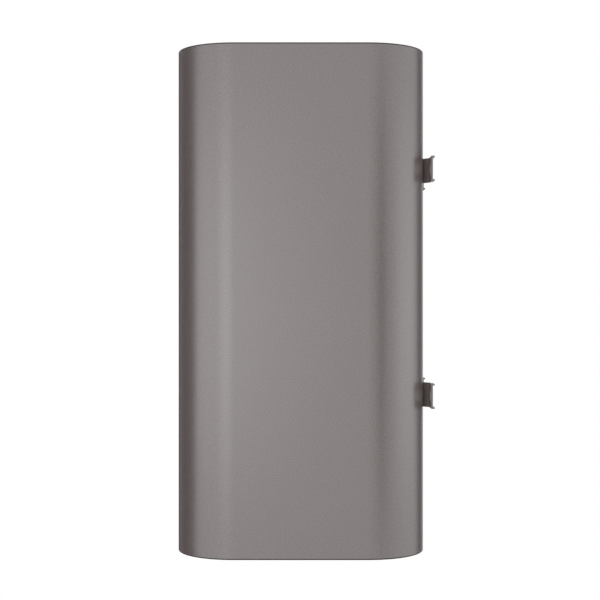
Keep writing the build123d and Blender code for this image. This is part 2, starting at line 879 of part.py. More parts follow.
# Insulation: foam that fills the casing round the tanks, the necks, the pipes and the rails
with BuildPart() as insulation:
    with BuildSketch(level(insulation_low)):
        casing_plan(skirt_inset)
    extrude(amount=cap_top - insulation_low)
    for tank_x, tank_y in tank_places:
        with BuildSketch(upright(tank_x, tank_y)):
            with BuildLine():
                tank_outline(-piece_gap)
            make_face()
        revolve(axis=Axis((tank_x, tank_y, 0), (0, 0, 1)), mode=Mode.SUBTRACT)
    with BuildSketch(level(insulation_low)):
        with Locations(*neck_places):
            Circle(neck_radius + piece_gap)
        with Locations(*nipple_places):
            Circle(pipe_radius + piece_gap)
    extrude(amount=nipple_top - insulation_low, mode=Mode.SUBTRACT)
    for hook_height in hook_z.values():
        with BuildSketch(Plane.XY.offset(hook_height - rail_height / 2 - piece_gap)):
            with Locations((0, back_y - (rail_depth + skirt_inset) / 2)):
                Rectangle(rail_length + 2 * piece_gap, rail_depth + skirt_inset)
        extrude(amount=rail_height + 2 * piece_gap, mode=Mode.SUBTRACT)
    with BuildSketch(level(tank_top - transfer_intake)):
        with Locations((half_spacing, middle_y + transfer_behind)):
            Circle(transfer_tube + piece_gap)
    sweep(path=transfer_route.line, mode=Mode.SUBTRACT)
keep("insulation", insulation)

# Electronics tray: a plate on four feet, with posts for the board and an ear for the cut-out
ear_x = -(tray_width + ear_width) / 2
board_screws = (board_width - 2 * board_screw_inset, board_depth - 2 * board_screw_inset)
cutout_x = -cutout_from_middle
cutout_y = middle_y - cutout_forward
with BuildPart() as electronics_tray:
    with BuildSketch(level(tray_level)):
        with Locations((0, middle_y + (tray_rear - tray_front) / 2)):
            Rectangle(tray_width, tray_rear + tray_front)
        with Locations((ear_x, cutout_y)):
            Rectangle(ear_width, ear_depth)
        with Locations((cutout_x, cutout_y)):
            Circle(ear_hole_radius, mode=Mode.SUBTRACT)
    extrude(amount=tray_sheet)
    with BuildSketch(level(cap_inside)):
        with Locations(*tray_feet):
            Rectangle(tray_foot_width, tray_foot_depth)
    extrude(amount=tray_level - cap_inside)
    with BuildSketch(level(tray_top)):
        with Locations((0, board_y)), GridLocations(*board_screws, 2, 2):
            Circle(board_post_radius)
    extrude(amount=board_post_height)
    with BuildSketch(level(board_level)):
        with Locations((0, board_y)), GridLocations(*board_screws, 2, 2):
            Circle(small_screw_radius + close_gap)
    extrude(amount=-board_post_height, mode=Mode.SUBTRACT)
    with BuildSketch(level(cap_inside)):
        with Locations(*tray_feet):
            Circle(small_screw_radius + close_gap)
    extrude(amount=tray_screw_length, mode=Mode.SUBTRACT)
keep("electronics_tray", electronics_tray)

with BuildPart() as control_board:
    with BuildSketch(level(board_level)):
        with Locations((0, board_y)):
            Rectangle(board_width, board_depth)
            with GridLocations(*board_screws, 2, 2):
                Circle(small_screw_radius + close_gap, mode=Mode.SUBTRACT)
    extrude(amount=board_sheet)
keep("control_board", control_board)

# Small screws: under the tray's feet and the terminal block, on the board and on the panel's board
panel_board_rear = front_y + panel_board_depth + board_sheet
panel_bosses = (2 * panel_boss_from_middle, 2 * panel_boss_rise)
with BuildPart() as small_screws:
    with BuildSketch(level(cap_recess - small_head_height)):
        with Locations(*tray_feet, *terminal_screws):
            Circle(small_head_radius)
    extrude(amount=small_head_height)
    with BuildSketch(level(cap_recess)):
        with Locations(*tray_feet, *terminal_screws):
            Circle(small_screw_radius)
    extrude(amount=tray_screw_length)
    with BuildSketch(level(board_top)):
        with Locations((0, board_y)), GridLocations(*board_screws, 2, 2):
            Circle(small_head_radius)
    extrude(amount=small_head_height)
    with BuildSketch(level(board_top)):
        with Locations((0, board_y)), GridLocations(*board_screws, 2, 2):
            Circle(small_screw_radius)
    extrude(amount=-(board_sheet + small_screw_engaged))
    with BuildSketch(facing_front(panel_board_rear + small_head_height)):
        with Locations((0, panel_z)), GridLocations(*panel_bosses, 2, 2):
            Circle(small_head_radius)
    extrude(amount=small_head_height)
    with BuildSketch(facing_front(panel_board_rear)):
        with Locations((0, panel_z)), GridLocations(*panel_bosses, 2, 2):
            Circle(small_screw_radius)
    extrude(amount=board_sheet + small_screw_engaged)
keep("small_screws", small_screws)

# What the board carries: relays, transformer, capacitors and plug connectors
connector_x = board_width / 2 - connector_edge - connector_depth / 2
connector_places = [
    (-connector_x, board_y - mains_connector_forward),
    (-connector_x, board_y + element_connector_behind),
    (connector_x, board_y + element_connector_behind),
    (connector_x, board_y - sensor_connector_forward),
]
with BuildPart() as relays:
    with BuildSketch(level(board_top)):
        with Locations((0, board_y + relay_behind)):
            with GridLocations(2 * relay_from_middle, relay_depth, 2, 1):
                Rectangle(relay_width, relay_depth)
    extrude(amount=relay_height)
keep("relays", relays)

with BuildPart() as board_components:
    with BuildSketch(level(board_top)):
        with Locations((0, board_y - transformer_forward)):
            Rectangle(transformer_width, transformer_depth)
    extrude(amount=transformer_height)
    with BuildSketch(level(board_top)):
        with Locations((0, board_y - capacitor_forward)):
            with GridLocations(2 * capacitor_from_middle, board_depth, 2, 1):
                Circle(capacitor_radius)
    extrude(amount=capacitor_height)
    with BuildSketch(level(board_top)):
        with Locations(*connector_places):
            Rectangle(connector_depth, connector_width)
    extrude(amount=connector_height)
    with BuildSketch(level(board_top)):
        with Locations((ribbon_header_from_middle, board_y - ribbon_header_forward)):
            Rectangle(ribbon_header_width, ribbon_header_depth)
    extrude(amount=ribbon_header_height)
keep("board_components", board_components)

# Thermal cut-out, with its push-to-reset button and the sensing bulb in the hot tank's thermowell
cutout_rear_y = cutout_y + cutout_depth / 2
mouth_level = board_top + connector_height / 2
blades_z = low_z + mouth_level + blade_rise / 2
with BuildPart() as thermal_cutout:
    with BuildSketch(level(tray_top)):
        with Locations((cutout_x, cutout_y)):
            RectangleRounded(cutout_width, cutout_depth, cover_wall)
    extrude(amount=cutout_height)
    with BuildSketch(level(tray_top)):
        with Locations((cutout_x, cutout_y)):
            Circle(reset_radius + piece_gap)
    extrude(amount=reset_inside + reset_travel + reset_bore_spare, mode=Mode.SUBTRACT)
    with BuildSketch(facing_front(cutout_rear_y + blade_length)):
        with Locations((cutout_x, blades_z)), GridLocations(blade_pitch, blade_rise, 2, 2):
            Rectangle(blade_width, blade_sheet)
    extrude(amount=blade_length)
keep("thermal_cutout", thermal_cutout)

with BuildPart() as reset_button:
    with BuildSketch(level(tray_level - reset_showing)):
        with Locations((cutout_x, cutout_y)):
            Circle(reset_radius)
    extrude(amount=reset_showing + tray_sheet + reset_inside)
    fillet(faces().sort_by(Axis.Z)[0].edges(), reset_radius / 3)
keep("reset_button", reset_button)

well_forward_of_middle = neck_forward + well_forward
lead_level = flange_low - lead_drop
capillary_points = placed([
    (-half_spacing, -well_forward_of_middle, flange_low),
    (-half_spacing, -well_forward_of_middle, lead_level),
    (cutout_x, -cutout_forward, lead_level),
    (cutout_x, -cutout_forward, tray_top + cutout_height),
])
with BuildPart() as cutout_capillary:
    with BuildLine() as capillary_route:
        FilletPolyline(*capillary_points, radius=wire_radii(capillary_points))
    with BuildSketch(level(flange_low)):
        with Locations((-half_spacing, well_y)):
            Circle(capillary_radius)
    sweep(path=capillary_route.line)
    volume = cutout_capillary.part.volume
    report_wire("cutout_capillary", capillary_points, volume, capillary_radius, capillary_route.line)
    with BuildSketch(level(flange_low)):
        with Locations((-half_spacing, well_y)):
            Circle(capillary_radius)
    extrude(amount=bulb_low - flange_low)
    with BuildSketch(level(bulb_low)):
        with Locations((-half_spacing, well_y)):
            Circle(bulb_radius)
    extrude(amount=bulb_length)
keep("cutout_capillary", cutout_capillary)

sensor_forward = board_forward + sensor_connector_forward
board_edge = board_width / 2 - connector_edge
sensor_points = placed([
    (half_spacing, -well_forward_of_middle, flange_low),
    (half_spacing, -well_forward_of_middle, lead_level),
    (half_spacing - climb_run, -sensor_forward, mouth_level),
    (board_edge, -sensor_forward, mouth_level),
])
with BuildPart() as sensor_probe:
    with BuildLine() as sensor_route:
        FilletPolyline(*sensor_points, radius=wire_radii(sensor_points))
    with BuildSketch(level(flange_low)):
        with Locations((half_spacing, well_y)):
            Circle(sensor_wire_radius)
    sweep(path=sensor_route.line)
    volume = sensor_probe.part.volume
    report_wire("sensor_probe", sensor_points, volume, sensor_wire_radius, sensor_route.line)
    with BuildSketch(level(flange_low)):
        with Locations((half_spacing, well_y)):
            Circle(sensor_wire_radius)
    extrude(amount=bulb_low - flange_low)
    with BuildSketch(level(bulb_low)):
        with Locations((half_spacing, well_y)):
            Circle(bulb_radius)
    extrude(amount=probe_length)
keep("sensor_probe", sensor_probe)

# Mains entry: terminal block, earth stud and the gland for the cord
terminal_middle = cap_inside + terminal_height / 2
terminal_front = terminal_behind - terminal_depth / 2
terminal_x = [terminal_from_middle + step * terminal_pitch for step in (-1, 0, 1)]
with BuildPart() as terminal_block:
    with BuildSketch(level(cap_inside)):
        with Locations((terminal_from_middle, terminal_y)):
            RectangleRounded(terminal_width, terminal_depth, cover_wall / 2)
    extrude(amount=terminal_height)
    with BuildSketch(facing_front(terminal_y + terminal_depth / 2)):
        with Locations(*[(x, low_z + terminal_middle) for x in terminal_x]):
            Circle(terminal_mouth_radius)
    extrude(amount=terminal_depth, mode=Mode.SUBTRACT)
    with BuildSketch(level(cap_inside + terminal_height - terminal_screw_well)):
        with Locations((terminal_from_middle, terminal_y)):
            with GridLocations(terminal_pitch, terminal_depth / 2, 3, 2):
                Circle(terminal_mouth_radius)
    extrude(amount=terminal_screw_well, mode=Mode.SUBTRACT)
    with BuildSketch(level(cap_inside)):
        with Locations(*terminal_screws):
            Circle(small_screw_radius + close_gap)
    extrude(amount=tray_screw_length, mode=Mode.SUBTRACT)
keep("terminal_block", terminal_block)

lug_level = cap_inside + earth_nut_height
with BuildPart() as earth_stud:
    with BuildSketch(level(cap_recess - earth_head_height)):
        with Locations((earth_from_middle, terminal_y)):
            Circle(earth_head_radius)
    extrude(amount=earth_head_height)
    with BuildSketch(level(cap_recess)):
        with Locations((earth_from_middle, terminal_y)):
            Circle(earth_stud_radius)
    extrude(amount=earth_stud_height)
    with BuildSketch(level(cap_inside), level(lug_level + earth_lug_sheet)):
        with Locations((earth_from_middle, terminal_y)):
            hexagon(earth_nut_across)
            Circle(earth_stud_radius + close_gap, mode=Mode.SUBTRACT)
    extrude(amount=earth_nut_height)
keep("earth_stud", earth_stud)

gland_low = cap_recess - gland_flange
barrel_low = gland_low - gland_below
barrel_length = gland_below + gland_flange + gland_above
with BuildPart() as gland_body:
    with BuildSketch(level(gland_low)):
        with Locations((0, nipple_y)):
            hexagon(gland_across)
    extrude(amount=gland_flange)
    with BuildSketch(level(barrel_low)):
        with Locations((0, nipple_y)):
            Circle(gland_thread)
    extrude(amount=barrel_length)
    with BuildSketch(level(barrel_low)):
        with Locations((0, nipple_y)):
            Circle(gland_bore)
    extrude(amount=barrel_length, mode=Mode.SUBTRACT)
    with BuildSketch(level(barrel_low)):
        with Locations((0, nipple_y)):
            Circle(seal_radius + piece_gap)
    extrude(amount=seal_height, mode=Mode.SUBTRACT)
keep("gland_body", gland_body)

with BuildPart() as gland_locknut:
    with BuildSketch(level(cap_inside)):
        with Locations((0, nipple_y)):
            hexagon(gland_across)
            Circle(gland_thread + piece_gap, mode=Mode.SUBTRACT)
    extrude(amount=locknut_height)
keep("gland_locknut", gland_locknut)

nut_low = gland_low - piece_gap - gland_nut_height
with BuildPart() as gland_nut:
    with BuildSketch(level(nut_low)):
        with Locations((0, nipple_y)):
            Circle(gland_nut_radius)
    extrude(amount=gland_nut_height)
    fillet(faces().sort_by(Axis.Z)[0].edges(), gland_nut_floor / 2)
    with BuildSketch(level(nut_low + gland_nut_floor)):
        with Locations((0, nipple_y)):
            Circle(gland_thread + piece_gap)
    extrude(amount=gland_nut_height - gland_nut_floor, mode=Mode.SUBTRACT)
    with BuildSketch(level(nut_low)):
        with Locations((0, nipple_y)):
            Circle(gland_mouth)
    extrude(amount=gland_nut_floor, mode=Mode.SUBTRACT)
keep("gland_nut", gland_nut)

with BuildPart() as gland_seal:
    with BuildSketch(level(nut_low + gland_nut_floor)):
        with Locations((0, nipple_y)):
            Circle(seal_radius)
            Circle(seal_bore, mode=Mode.SUBTRACT)
    extrude(amount=seal_height)
keep("gland_seal", gland_seal)

# Control panel: a frame held in the casing's window, with a fascia, a display and four push keys
key_x = {"key_power": -key_far, "key_mode": -key_near, "key_minus": key_near, "key_plus": key_far}
key_places = [(x, panel_z) for x in key_x.values()]
lens_places = [(-(lens_from_middle + step * lens_pitch), panel_z) for step in (0, 1, 2)]
box_width = window_width - 2 * piece_gap
box_height = window_height - 2 * piece_gap
fascia_width = panel_width - 2 * panel_rim
fascia_height = panel_height - 2 * panel_rim
fascia_corner = panel_corner - panel_rim / 2
fascia_rear_y = front_y - panel_proud + fascia_sheet
with BuildPart() as panel_frame:
    with BuildSketch(facing_front(front_y)):
        with Locations((0, panel_z)):
            RectangleRounded(panel_width, panel_height, panel_corner)
    extrude(amount=panel_proud)
    fillet(faces().sort_by(Axis.Y)[0].edges(), panel_edge_radius)
    with BuildSketch(facing_front(front_y + frame_depth)):
        with Locations((0, panel_z)):
            RectangleRounded(box_width, box_height, panel_corner - piece_gap)
    extrude(amount=frame_depth)
    with BuildSketch(facing_front(fascia_rear_y)):
        with Locations((0, panel_z)):
            RectangleRounded(fascia_width, fascia_height, fascia_corner)
    extrude(amount=fascia_sheet, mode=Mode.SUBTRACT)
    with BuildSketch(facing_front(front_y + frame_depth)):
        with Locations((0, panel_z)):
            Rectangle(box_width - 2 * frame_wall, box_height - 2 * frame_wall)
    extrude(amount=frame_depth - frame_front, mode=Mode.SUBTRACT)
    with BuildSketch(facing_front(front_y + panel_board_depth)):
        with Locations((0, panel_z)), GridLocations(*panel_bosses, 2, 2):
            Circle(panel_boss_radius)
            Circle(small_screw_radius + close_gap, mode=Mode.SUBTRACT)
    extrude(amount=panel_board_depth - frame_front)
    with BuildSketch(facing_front(front_y + frame_front)):
        with Locations(*key_places):
            Circle(key_radius + piece_gap)
        with Locations(*lens_places):
            Circle(lens_radius + piece_gap)
        with Locations((0, panel_z)):
            Rectangle(display_width, display_height)
    extrude(amount=frame_front + panel_proud, mode=Mode.SUBTRACT)
    with BuildSketch(facing_front(front_y + skirt_inset + frame_tab_depth)):
        with Locations((0, panel_z)):
            with GridLocations(2 * frame_tab_from_middle, box_height + frame_tab_height, 2, 2):
                Rectangle(frame_tab_width, frame_tab_height)
    extrude(amount=frame_tab_depth)
keep("panel_frame", panel_frame)

with BuildPart() as panel_fascia:
    with BuildSketch(facing_front(fascia_rear_y)):
        with Locations((0, panel_z)):
            RectangleRounded(
                fascia_width - 2 * close_gap, fascia_height - 2 * close_gap, fascia_corner - close_gap
            )
            Rectangle(display_width, display_height, mode=Mode.SUBTRACT)
        with Locations(*key_places):
            Circle(key_radius + piece_gap, mode=Mode.SUBTRACT)
        with Locations(*lens_places):
            Circle(lens_radius + piece_gap, mode=Mode.SUBTRACT)
    extrude(amount=fascia_sheet)
keep("panel_fascia", panel_fascia)

with BuildPart() as display_window:
    with BuildSketch(facing_front(front_y + frame_front)):
        with Locations((0, panel_z)):
            Rectangle(display_width - 2 * close_gap, display_height - 2 * close_gap)
    extrude(amount=frame_front + panel_proud)
    with BuildSketch(facing_front(front_y + frame_front + display_flange_sheet)):
        with Locations((0, panel_z)):
            Rectangle(display_width + 2 * display_flange, display_height + 2 * display_flange)
    extrude(amount=display_flange_sheet)
keep("display_window", display_window)

with BuildPart() as display_module:
    with BuildSketch(facing_front(front_y + panel_board_depth)):
        with Locations((0, panel_z)):
            Rectangle(module_width, module_height)
    extrude(amount=panel_board_depth - frame_front - display_flange_sheet)
keep("display_module", display_module)

with BuildPart() as display_board:
    with BuildSketch(facing_front(panel_board_rear)):
        with Locations((0, panel_z)):
            Rectangle(panel_board_width, panel_board_height)
            with GridLocations(*panel_bosses, 2, 2):
                Circle(small_screw_radius + close_gap, mode=Mode.SUBTRACT)
    extrude(amount=board_sheet)
keep("display_board", display_board)

ribbon_x = ribbon_header_from_middle
with BuildPart() as panel_back:
    with BuildSketch(facing_front(front_y + frame_depth)):
        with Locations((0, panel_z)):
            Rectangle(box_width - 2 * (frame_wall + close_gap), box_height - 2 * (frame_wall + close_gap))
        with Locations((ribbon_x, panel_z)):
            Rectangle(ribbon_width + 2 * ribbon_sheet, 3 * ribbon_sheet, mode=Mode.SUBTRACT)
    extrude(amount=panel_back_sheet)
keep("panel_back", panel_back)

switch_front_y = front_y + panel_board_depth - switch_height
with BuildPart() as tact_switches:
    with BuildSketch(facing_front(front_y + panel_board_depth)):
        with Locations(*key_places):
            Rectangle(switch_width, switch_width)
    extrude(amount=switch_height)
    with BuildSketch(facing_front(switch_front_y + switch_bore_depth)):
        with Locations(*key_places):
            Circle(key_stem_radius + piece_gap)
    extrude(amount=switch_bore_depth, mode=Mode.SUBTRACT)
keep("tact_switches", tact_switches)

collar_front_y = front_y + frame_front + piece_gap
collar_rear_y = collar_front_y + key_collar_sheet
stem_end_y = switch_front_y + key_stem_entry
for key_name, x in key_x.items():
    with BuildPart() as key:
        with BuildSketch(facing_front(collar_front_y)):
            with Locations((x, panel_z)):
                Circle(key_radius)
        extrude(amount=frame_front + piece_gap + panel_proud + key_proud)
        fillet(faces().sort_by(Axis.Y)[0].edges(), key_edge_radius)
        with BuildSketch(facing_front(collar_rear_y)):
            with Locations((x, panel_z)):
                Circle(key_radius + key_collar)
        extrude(amount=key_collar_sheet)
        with BuildSketch(facing_front(stem_end_y)):
            with Locations((x, panel_z)):
                Circle(key_stem_radius)
        extrude(amount=stem_end_y - collar_rear_y)
    keep(key_name, key)

with BuildPart() as indicator_lenses:
    with BuildSketch(facing_front(front_y + panel_board_depth - piece_gap)):
        with Locations(*lens_places):
            Circle(lens_radius)
    extrude(amount=panel_board_depth - piece_gap + panel_proud)
keep("indicator_lenses", indicator_lenses)

# Wires inside the heater, each held at both ends
blades_end = cutout_depth / 2 + blade_length - cutout_forward
inner_blade_x = cutout_x + blade_pitch / 2
outer_blade_x = cutout_x - blade_pitch / 2
loom_level = mouth_level + blade_rise
mains_connector = -(board_forward + mains_connector_forward)
element_connector = element_connector_behind - board_forward
half_pitch = connector_pitch / 2
blade_end = pin_low - element_blade_length
inner_pin_x = half_spacing - element_width / 2
outer_pin_x = half_spacing + element_width / 2
pins_behind = -(neck_forward + element_forward)
brown_pole, blue_pole, earth_pole = terminal_x
brown_routes = [
    [
        (brown_pole, terminal_front + wire_end, terminal_middle),
        (brown_pole, terminal_front - mouth_run, terminal_middle),
        (brown_pole - climb_run, brown_lane, loom_level),
        (inner_blade_x, brown_lane, loom_level),
        (inner_blade_x, blades_end, loom_level),
    ],
    [
        (inner_blade_x, blades_end, mouth_level),
        (inner_blade_x, mains_connector - half_pitch, mouth_level),
        (-board_edge, mains_connector - half_pitch, mouth_level),
    ],
] + [
    [
        (side * board_edge, element_connector - half_pitch, mouth_level),
        (side * (board_edge + bend_reach), element_connector - half_pitch, mouth_level),
        (side * inner_pin_x, pins_behind, mouth_level),
        (side * inner_pin_x, pins_behind, blade_end),
    ]
    for side in sides.values()
]
blue_routes = [
    [
        (blue_pole, terminal_front + wire_end, terminal_middle),
        (blue_pole, terminal_front - mouth_run / 2, terminal_middle),
        (blue_pole - climb_run, blue_lane, loom_level),
        (outer_blade_x, blue_lane, loom_level),
        (outer_blade_x, blades_end, loom_level),
    ],
    [
        (outer_blade_x, blades_end, mouth_level),
        (outer_blade_x, mains_connector + half_pitch, mouth_level),
        (-board_edge, mains_connector + half_pitch, mouth_level),
    ],
] + [
    [
        (side * board_edge, element_connector + half_pitch, mouth_level),
        (side * (board_edge + bend_reach), element_connector + half_pitch, mouth_level),
        (side * (outer_pin_x - bend_reach), pins_behind + bend_reach, mouth_level),
        (side * outer_pin_x, pins_behind, mouth_level + wire_end),
        (side * outer_pin_x, pins_behind, blade_end),
    ]
    for side in sides.values()
]
for wires_name, routes in {"wires_brown": brown_routes, "wires_blue": blue_routes}.items():
    with BuildPart() as wires:
        volume_before = 0
        for number, points in enumerate(routes):
            wire_points = placed(points)
            with BuildLine() as route:
                FilletPolyline(*wire_points, radius=wire_radii(wire_points))
            with BuildSketch(Plane(route.line @ 0, z_dir=route.line % 0)):
                Circle(wire_radius)
            sweep(path=route.line)
            added = wires.part.volume - volume_before
            volume_before = wires.part.volume
            report_wire(f"{wires_name} {number}", wire_points, added, wire_radius, route.line)
    keep(wires_name, wires)

lug_end = terminal_behind - earth_lug_reach
earth_level = lug_level + earth_lug_sheet / 2
earth_points = placed([
    (earth_pole, terminal_front + wire_end, terminal_middle),
    (earth_pole, terminal_front - mouth_run, terminal_middle),
    (earth_from_middle, terminal_front - mouth_run, earth_level),
    (earth_from_middle, lug_end, earth_level),
])
with BuildPart() as wire_earth:
    with BuildLine() as earth_route:
        FilletPolyline(*earth_points, radius=wire_radii(earth_points))
    with BuildSketch(Plane(earth_route.line @ 0, z_dir=earth_route.line % 0)):
        Circle(wire_radius)
    sweep(path=earth_route.line)
    report_wire("wire_earth", earth_points, wire_earth.part.volume, wire_radius, earth_route.line)
    with BuildSketch(level(lug_level)):
        with Locations((earth_from_middle, terminal_y)):
            Circle(earth_lug_radius)
        with Locations((earth_from_middle, terminal_y - earth_lug_reach / 2)):
            Rectangle(earth_lug_width, earth_lug_reach + wire_radius)
        with Locations((earth_from_middle, terminal_y)):
            Circle(earth_stud_radius + piece_gap, mode=Mode.SUBTRACT)
    extrude(amount=earth_lug_sheet)
keep("wire_earth", wire_earth)

# Display ribbon: up from the board, then forward through the panel's back to its board
ribbon_y = board_y - ribbon_header_forward
ribbon_low = board_top + ribbon_header_height
ribbon_points = [
    (ribbon_x, ribbon_y, low_z + ribbon_low),
    (ribbon_x, ribbon_y, panel_z),
    (ribbon_x, panel_board_rear, panel_z),
]
with BuildPart() as display_ribbon:
    with BuildLine() as ribbon_route:
        FilletPolyline(*ribbon_points, radius=ribbon_bend)
    with BuildSketch(level(ribbon_low)):
        with Locations((ribbon_x, ribbon_y)):
            Rectangle(ribbon_width, ribbon_sheet)
    sweep(path=ribbon_route.line)
keep("display_ribbon", display_ribbon)
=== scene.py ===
"""The looks of a flat, wall-hung storage water heater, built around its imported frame.

Pieces are drawn in millimetres and brought to metres when they are finished. The axes are the
frame's: +Z up, the front facing -Y, the wall behind +Y.
"""

import json
import logging
import math
from abc import ABC, abstractmethod
from dataclasses import dataclass
from enum import Enum
from typing import Iterable, Optional, Sequence, Union

import bmesh
import bpy
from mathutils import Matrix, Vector


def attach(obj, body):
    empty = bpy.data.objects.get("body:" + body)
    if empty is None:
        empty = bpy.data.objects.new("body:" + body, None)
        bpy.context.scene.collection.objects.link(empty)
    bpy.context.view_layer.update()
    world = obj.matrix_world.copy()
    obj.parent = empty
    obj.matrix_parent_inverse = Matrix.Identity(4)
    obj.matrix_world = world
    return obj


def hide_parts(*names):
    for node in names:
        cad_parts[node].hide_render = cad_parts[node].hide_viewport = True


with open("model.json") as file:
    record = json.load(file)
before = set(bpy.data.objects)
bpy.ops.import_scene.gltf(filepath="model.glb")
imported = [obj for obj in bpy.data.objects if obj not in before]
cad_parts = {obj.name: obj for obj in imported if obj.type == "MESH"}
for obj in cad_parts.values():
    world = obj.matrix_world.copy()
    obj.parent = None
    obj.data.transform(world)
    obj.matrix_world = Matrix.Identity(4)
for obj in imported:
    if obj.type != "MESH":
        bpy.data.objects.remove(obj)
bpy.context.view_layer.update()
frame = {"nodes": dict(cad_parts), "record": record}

LOG = logging.getLogger("storage_water_heater")
MM = 0.001
BODY = "heater"

Point = tuple[float, float, float]
Flat = tuple[float, float]
Socket = bpy.types.NodeSocket
Outputs = bpy.types.bpy_prop_collection
Setting = Union[float, int, bool, str, tuple, Socket, bpy.types.Material, list]

WHITE = (1.0, 1.0, 1.0, 1.0)
# Vertices closer than this are one, in millimetres: on drawn pieces, and on the frame's meshes.
DRAWN_WELD, FRAME_WELD = 0.0005, 0.001
# Faces of the frame's meshes that turn by less than this, in degrees, are one flat face.
FLAT_ANGLE = 0.5
# What a noise texture's values mostly lie between.
NOISE_LOW, NOISE_HIGH = 0.3, 0.7
# A wave texture multiplies its scale by this.
WAVE_RATE = 20
# Brushed metal's noise is squeezed to this along the sheet, which draws it out into lines.
BRUSHED_SQUEEZE = 1 / 40


def linear(colour: str) -> tuple[float, float, float, float]:
    """The linear colour of an sRGB hex value.

    Args:
        colour: A leading # and six hex digits.

    Returns:
        Red, green, blue and an alpha of one.
    """
    channels = [int(colour[start : start + 2], 16) / 255 for start in (1, 3, 5)]
    red, green, blue = (c / 12.92 if c <= 0.04045 else ((c + 0.055) / 1.055) ** 2.4 for c in channels)
    return red, green, blue, 1.0


def add_node(
    tree: bpy.types.NodeTree,
    kind: str,
    settings: Optional[dict[str, Setting]] = None,
    inputs: Optional[dict[Union[str, int], Setting]] = None,
) -> bpy.types.Node:
    """Adds a node with its settings and links.

    Args:
        tree: The tree that the node goes into.
        kind: The node's type name.
        settings: The node's properties, by name.
        inputs: A value, an output to link from, or a list of outputs, for each input by name or place.

    Returns:
        The new node.
    """
    node = tree.nodes.new(kind)
    for name, value in (settings or {}).items():
        setattr(node, name, value)
    for key, value in (inputs or {}).items():
        for source in value if isinstance(value, list) else [value]:
            if isinstance(source, bpy.types.NodeSocket):
                tree.links.new(source, node.inputs[key])
            else:
                node.inputs[key].default_value = source
    return node


def blank_material(name: str) -> bpy.types.Material:
    """Makes a material whose tree is empty.

    Args:
        name: The material's name.

    Returns:
        The material.
    """
    material = bpy.data.materials.new(name)
    material.use_nodes = True
    material.node_tree.nodes.clear()
    return material


def add_object(name: str, data: bpy.types.ID) -> bpy.types.Object:
    """Makes an object and links it into the scene.

    Args:
        name: The object's name.
        data: Its mesh, lamp or camera.

    Returns:
        The object.
    """
    obj = bpy.data.objects.new(name, data)
    bpy.context.scene.collection.objects.link(obj)
    return obj


# Finishes


class Grain(Enum):
    """The pattern that a surface shows close to."""

    SOFT = "the mottling of cast skin, thin plate and moulds"
    BRUSHED = "lines drawn along the sheet"
    SPANGLE = "zinc crystals"
    CELLS = "burst cells"
    TRACKS = "square tracks"
    STRIPES = "two colours side by side"


class Brush:
    """Draws patterns in one material's tree, in its object's own coordinates."""

    def __init__(self, tree: bpy.types.NodeTree) -> None:
        """Starts on an empty tree."""
        self.tree = tree
        self.place = add_node(tree, "ShaderNodeTexCoord").outputs["Object"]

    def texture(self, kind: str, scale: float, settings: Optional[dict] = None, **inputs: Setting) -> Outputs:
        """Adds a texture, which reads the object's coordinates unless it is given others."""
        given = {"Vector": self.place, "Scale": scale, **inputs}
        return add_node(self.tree, f"ShaderNodeTex{kind}", settings, given).outputs

    def spread(self, value: Socket, low: float = 0.0, high: float = 1.0) -> Socket:
        """Spreads noise over the range from low to high."""
        limits = {"From Min": NOISE_LOW, "From Max": NOISE_HIGH, "To Min": low, "To Max": high}
        return add_node(self.tree, "ShaderNodeMapRange", inputs={"Value": value, **limits}).outputs["Result"]

    def blend(self, share: Socket, first: Setting, second: Setting) -> Socket:
        """Mixes two colours; the share is the second one's."""
        inputs = {0: share, 6: first, 7: second}
        return add_node(self.tree, "ShaderNodeMix", {"data_type": "RGBA"}, inputs).outputs[2]

    def draw(self, grain: Grain, size: float) -> tuple[Socket, Socket]:
        """Draws a pattern.

        Args:
            grain: Which pattern.
            size: The size of a feature in millimetres.

        Returns:
            Its value, and the same from 0 to 1 as the second colour's share.
        """
        scale = 1 / (size * MM)
        if grain is Grain.STRIPES:
            value = self.texture("Wave", scale / WAVE_RATE, {"bands_direction": "DIAGONAL"})[0]
            return value, value
        if grain is Grain.CELLS:
            value = self.texture("Voronoi", scale)["Distance"]
            return value, value
        if grain is Grain.TRACKS:
            cells = self.texture("Voronoi", scale, {"distance": "CHEBYCHEV", "feature": "F2"})
            value = self.spread(cells["Distance"])
            return value, value
        if grain is Grain.SPANGLE:
            crystals = {"Color": self.texture("Voronoi", scale)["Color"]}
            value = add_node(self.tree, "ShaderNodeSeparateColor", inputs=crystals).outputs["Red"]
            return value, self.spread(value)
        place = self.place
        if grain is Grain.BRUSHED:
            drawn = {"Vector": place, "Scale": (1.0, 1.0, BRUSHED_SQUEEZE)}
            place = add_node(self.tree, "ShaderNodeMapping", inputs=drawn).outputs["Vector"]
        value = self.texture("Noise", scale, Vector=place, Detail=2.0)[0]
        return value, self.spread(value)

    def bump(self, *layers: tuple[Socket, float]) -> Socket:
        """Lays patterns over each other as one bumped normal.

        Args:
            layers: Each pattern with its height in millimetres.

        Returns:
            The bumped normal.
        """
        normal = None
        for pattern, height in layers:
            inputs = {"Strength": 1.0, "Distance": height * MM, "Height": pattern}
            if normal is not None:
                inputs["Normal"] = normal
            normal = add_node(self.tree, "ShaderNodeBump", inputs=inputs).outputs["Normal"]
        return normal


